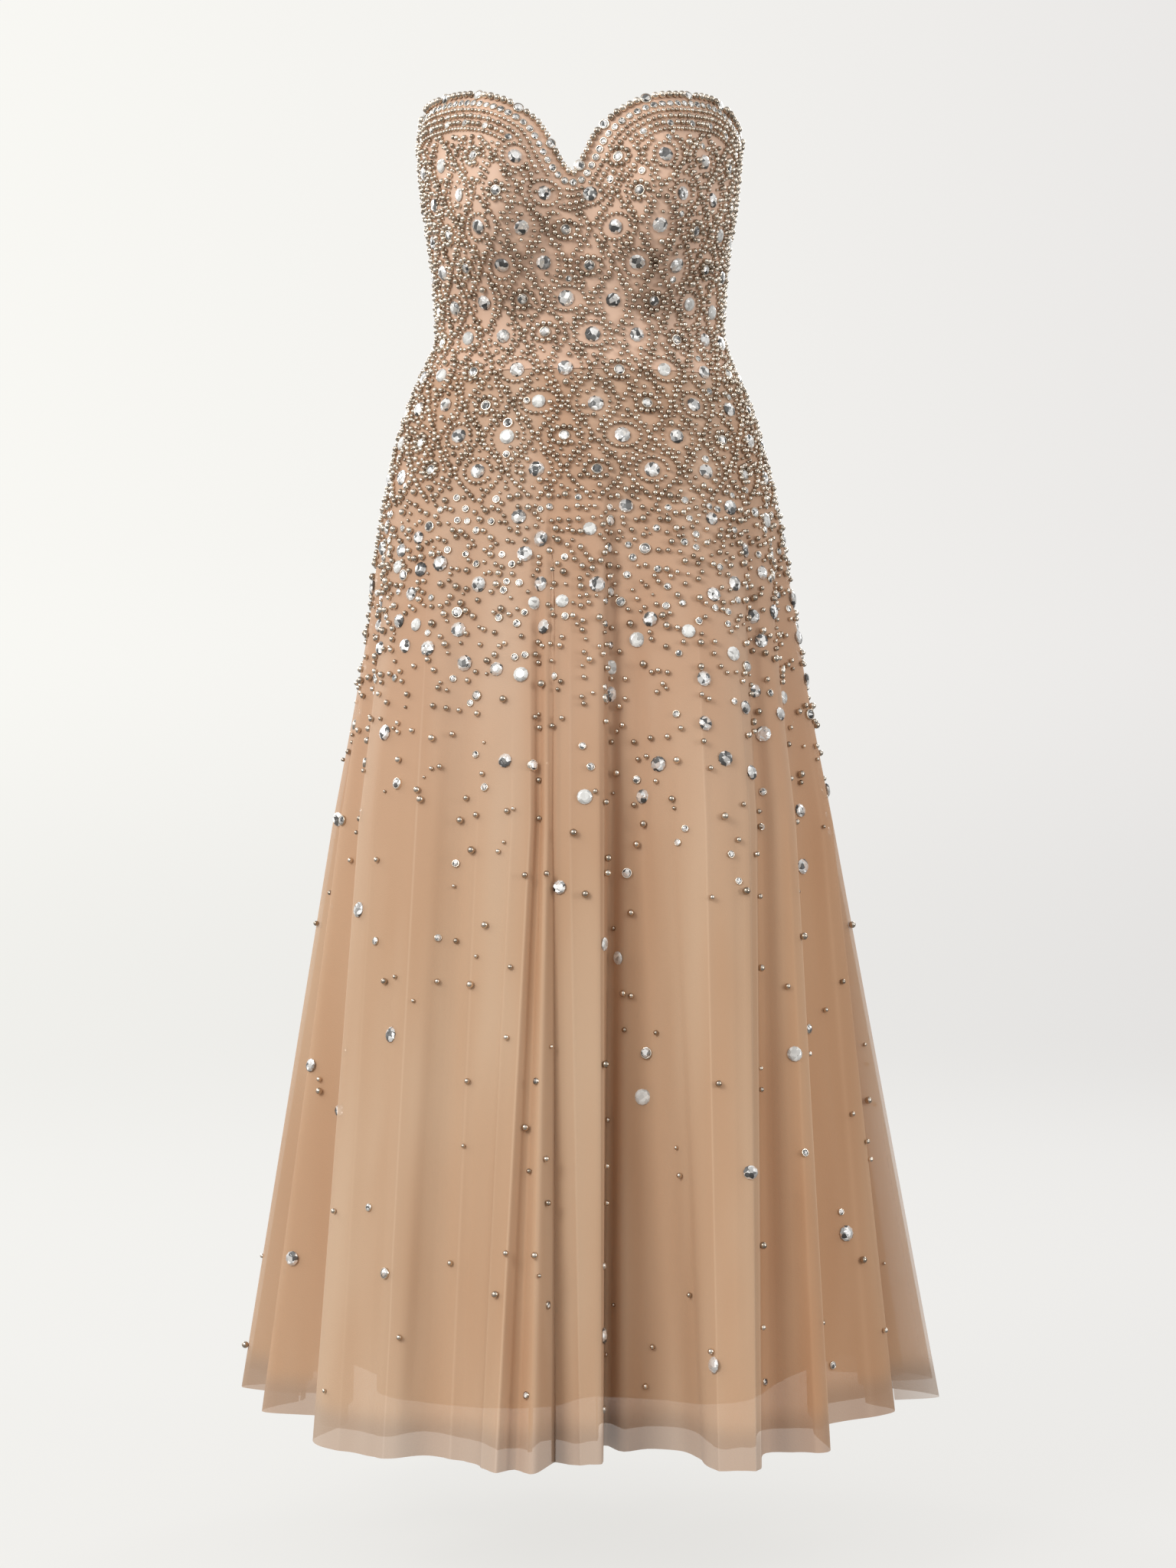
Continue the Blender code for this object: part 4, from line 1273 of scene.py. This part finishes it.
# ------------------------------------------------------------------ studio
def paper_material(name):
    """The studio's paper: near white and glowing, with painted light that is brighter on the left, and a little dimmer
    on the floor.
    """
    mat, nodes, links, shader = new_material(name)
    coords = nodes.new("ShaderNodeTexCoord")
    split = nodes.new("ShaderNodeSeparateXYZ")
    links.new(coords.outputs["Object"], split.inputs[0])
    # painted light: the glow is made brighter on the left, as if the key light fell there
    across = node(nodes, "ShaderNodeMapRange")
    across.inputs["From Min"].default_value = -2.4
    across.inputs["From Max"].default_value = 2.4
    links.new(split.outputs["X"], across.inputs["Value"])
    shade = ramp(nodes, ((0.0, (0.885, 0.880, 0.840)), (0.55, (0.815, 0.805, 0.780)), (1.0, (0.735, 0.720, 0.710))))
    links.new(across.outputs[0], shade.inputs["Fac"])
    links.new(shade.outputs["Color"], shader.inputs["Emission Color"])
    low = node(nodes, "ShaderNodeMapRange", interpolation_type="SMOOTHSTEP")
    low.inputs["From Min"].default_value = FLOOR_Z
    low.inputs["From Max"].default_value = FLOOR_Z + 1.3
    low.inputs["To Min"].default_value = PAPER_GLOW * 0.905
    low.inputs["To Max"].default_value = PAPER_GLOW
    links.new(split.outputs["Z"], low.inputs["Value"])
    links.new(low.outputs[0], shader.inputs["Emission Strength"])
    shader.inputs["Base Color"].default_value = (0.10, 0.10, 0.10, 1.0)
    shader.inputs["Roughness"].default_value = 1.0
    shader.inputs["Specular IOR Level"].default_value = 0.0
    mat.cycles.emission_sampling = "NONE"
    return mat


PAPER_GLOW, AMBIENT, KEY = 1.0, 1.30, 80.0
FLOOR_Z, SWEEP_R, SWEEP_TOP, BEND = -1.10, 7.6, 3.4, 1.6
profile = [(0.0, FLOOR_Z), (2.0, FLOOR_Z), (SWEEP_R - BEND, FLOOR_Z)]
for k in range(1, 13):
    a = math.pi / 2 * k / 12
    profile.append((SWEEP_R - BEND + BEND * math.sin(a), FLOOR_Z + BEND * (1 - math.cos(a))))
profile.append((SWEEP_R, SWEEP_TOP))
segments = 96
verts, faces = [], []
for r, z in profile:
    for k in range(segments):
        a = 2 * math.pi * k / segments
        verts.append((r * math.cos(a), r * math.sin(a), z))
for j in range(len(profile) - 1):
    for k in range(segments):
        i = (k + 1) % segments
        faces.append((j * segments + k, j * segments + i, (j + 1) * segments + i, (j + 1) * segments + k))
sweep = mesh_object("studio_sweep", verts, faces, paper_material("studio_paper"), body=None)
sweep.visible_diffuse = sweep.visible_glossy = sweep.visible_shadow = False

# soft light from all round: brightest in a ring high up and to the left, darker at the very top and dark below
world = bpy.data.worlds.new("studio")
bpy.context.scene.world = world
world.use_nodes = True
nodes, links = world.node_tree.nodes, world.node_tree.links
coords = nodes.new("ShaderNodeTexCoord")
split = nodes.new("ShaderNodeSeparateXYZ")
links.new(coords.outputs["Generated"], split.inputs[0])
height = node(nodes, "ShaderNodeMapRange")
height.inputs["From Min"].default_value = -1.0
links.new(split.outputs["Z"], height.inputs["Value"])
up = ramp(nodes, ((0.0, (0.20, 0.19, 0.18)), (0.42, (0.30, 0.29, 0.28)), (0.56, (0.62, 0.62, 0.62)), (0.80, (0.95, 0.95, 0.95)), (0.97, (0.35, 0.35, 0.36))))
links.new(height.outputs[0], up.inputs["Fac"])
side = node(nodes, "ShaderNodeMapRange")
side.inputs["From Min"].default_value = -1.0
side.inputs["To Min"].default_value = 1.25
side.inputs["To Max"].default_value = 0.70
links.new(split.outputs["X"], side.inputs["Value"])
strength = node(nodes, "ShaderNodeMath", operation="MULTIPLY")
links.new(side.outputs[0], strength.inputs[0])
strength.inputs[1].default_value = AMBIENT
background = nodes["Background"]
links.new(up.outputs["Color"], background.inputs["Color"])
links.new(strength.outputs[0], background.inputs["Strength"])


def area_light(name, place, aim, size, power, colour=(1, 1, 1)):
    data = bpy.data.lights.new(name, "AREA")
    data.shape, data.size, data.size_y = "RECTANGLE", size[0], size[1]
    data.energy, data.color = power, colour
    obj = bpy.data.objects.new(name, data)
    obj.location = place
    obj.rotation_euler = (Vector(aim) - Vector(place)).to_track_quat("-Z", "Y").to_euler()
    obj.visible_camera = False
    bpy.context.scene.collection.objects.link(obj)
    return obj


area_light("key", (-2.4, -2.8, 1.6), (0, 0, -0.35), (1.3, 1.9), KEY, (1.0, 0.99, 0.97))
area_light("fill", (3.6, -1.9, 0.3), (0, 0, -0.45), (0.8, 2.0), KEY * 0.56, (0.98, 0.99, 1.0))
area_light("back", (2.0, 3.2, 1.6), (0, 0, -0.2), (1.2, 1.4), KEY * 0.55)
area_light("back_left", (-2.6, 2.4, 1.2), (0, 0, -0.2), (1.0, 1.4), KEY * 0.40)

# ------------------------------------------------------------------ camera
data = bpy.data.cameras.new("camera")
data.sensor_fit, data.sensor_height, data.sensor_width = "VERTICAL", 36.0, 27.0
data.lens = 72.24
data.clip_end = 60.0
camera = bpy.data.objects.new("camera", data)
camera.location = (0.008, -3.0, -0.384)
camera.rotation_euler = (math.radians(90), 0, 0)
bpy.context.scene.collection.objects.link(camera)
bpy.context.scene.camera = camera

scene = bpy.context.scene
scene.view_settings.view_transform = "Standard"
scene.cycles.transparent_max_bounces = 40
scene.cycles.max_bounces = 8
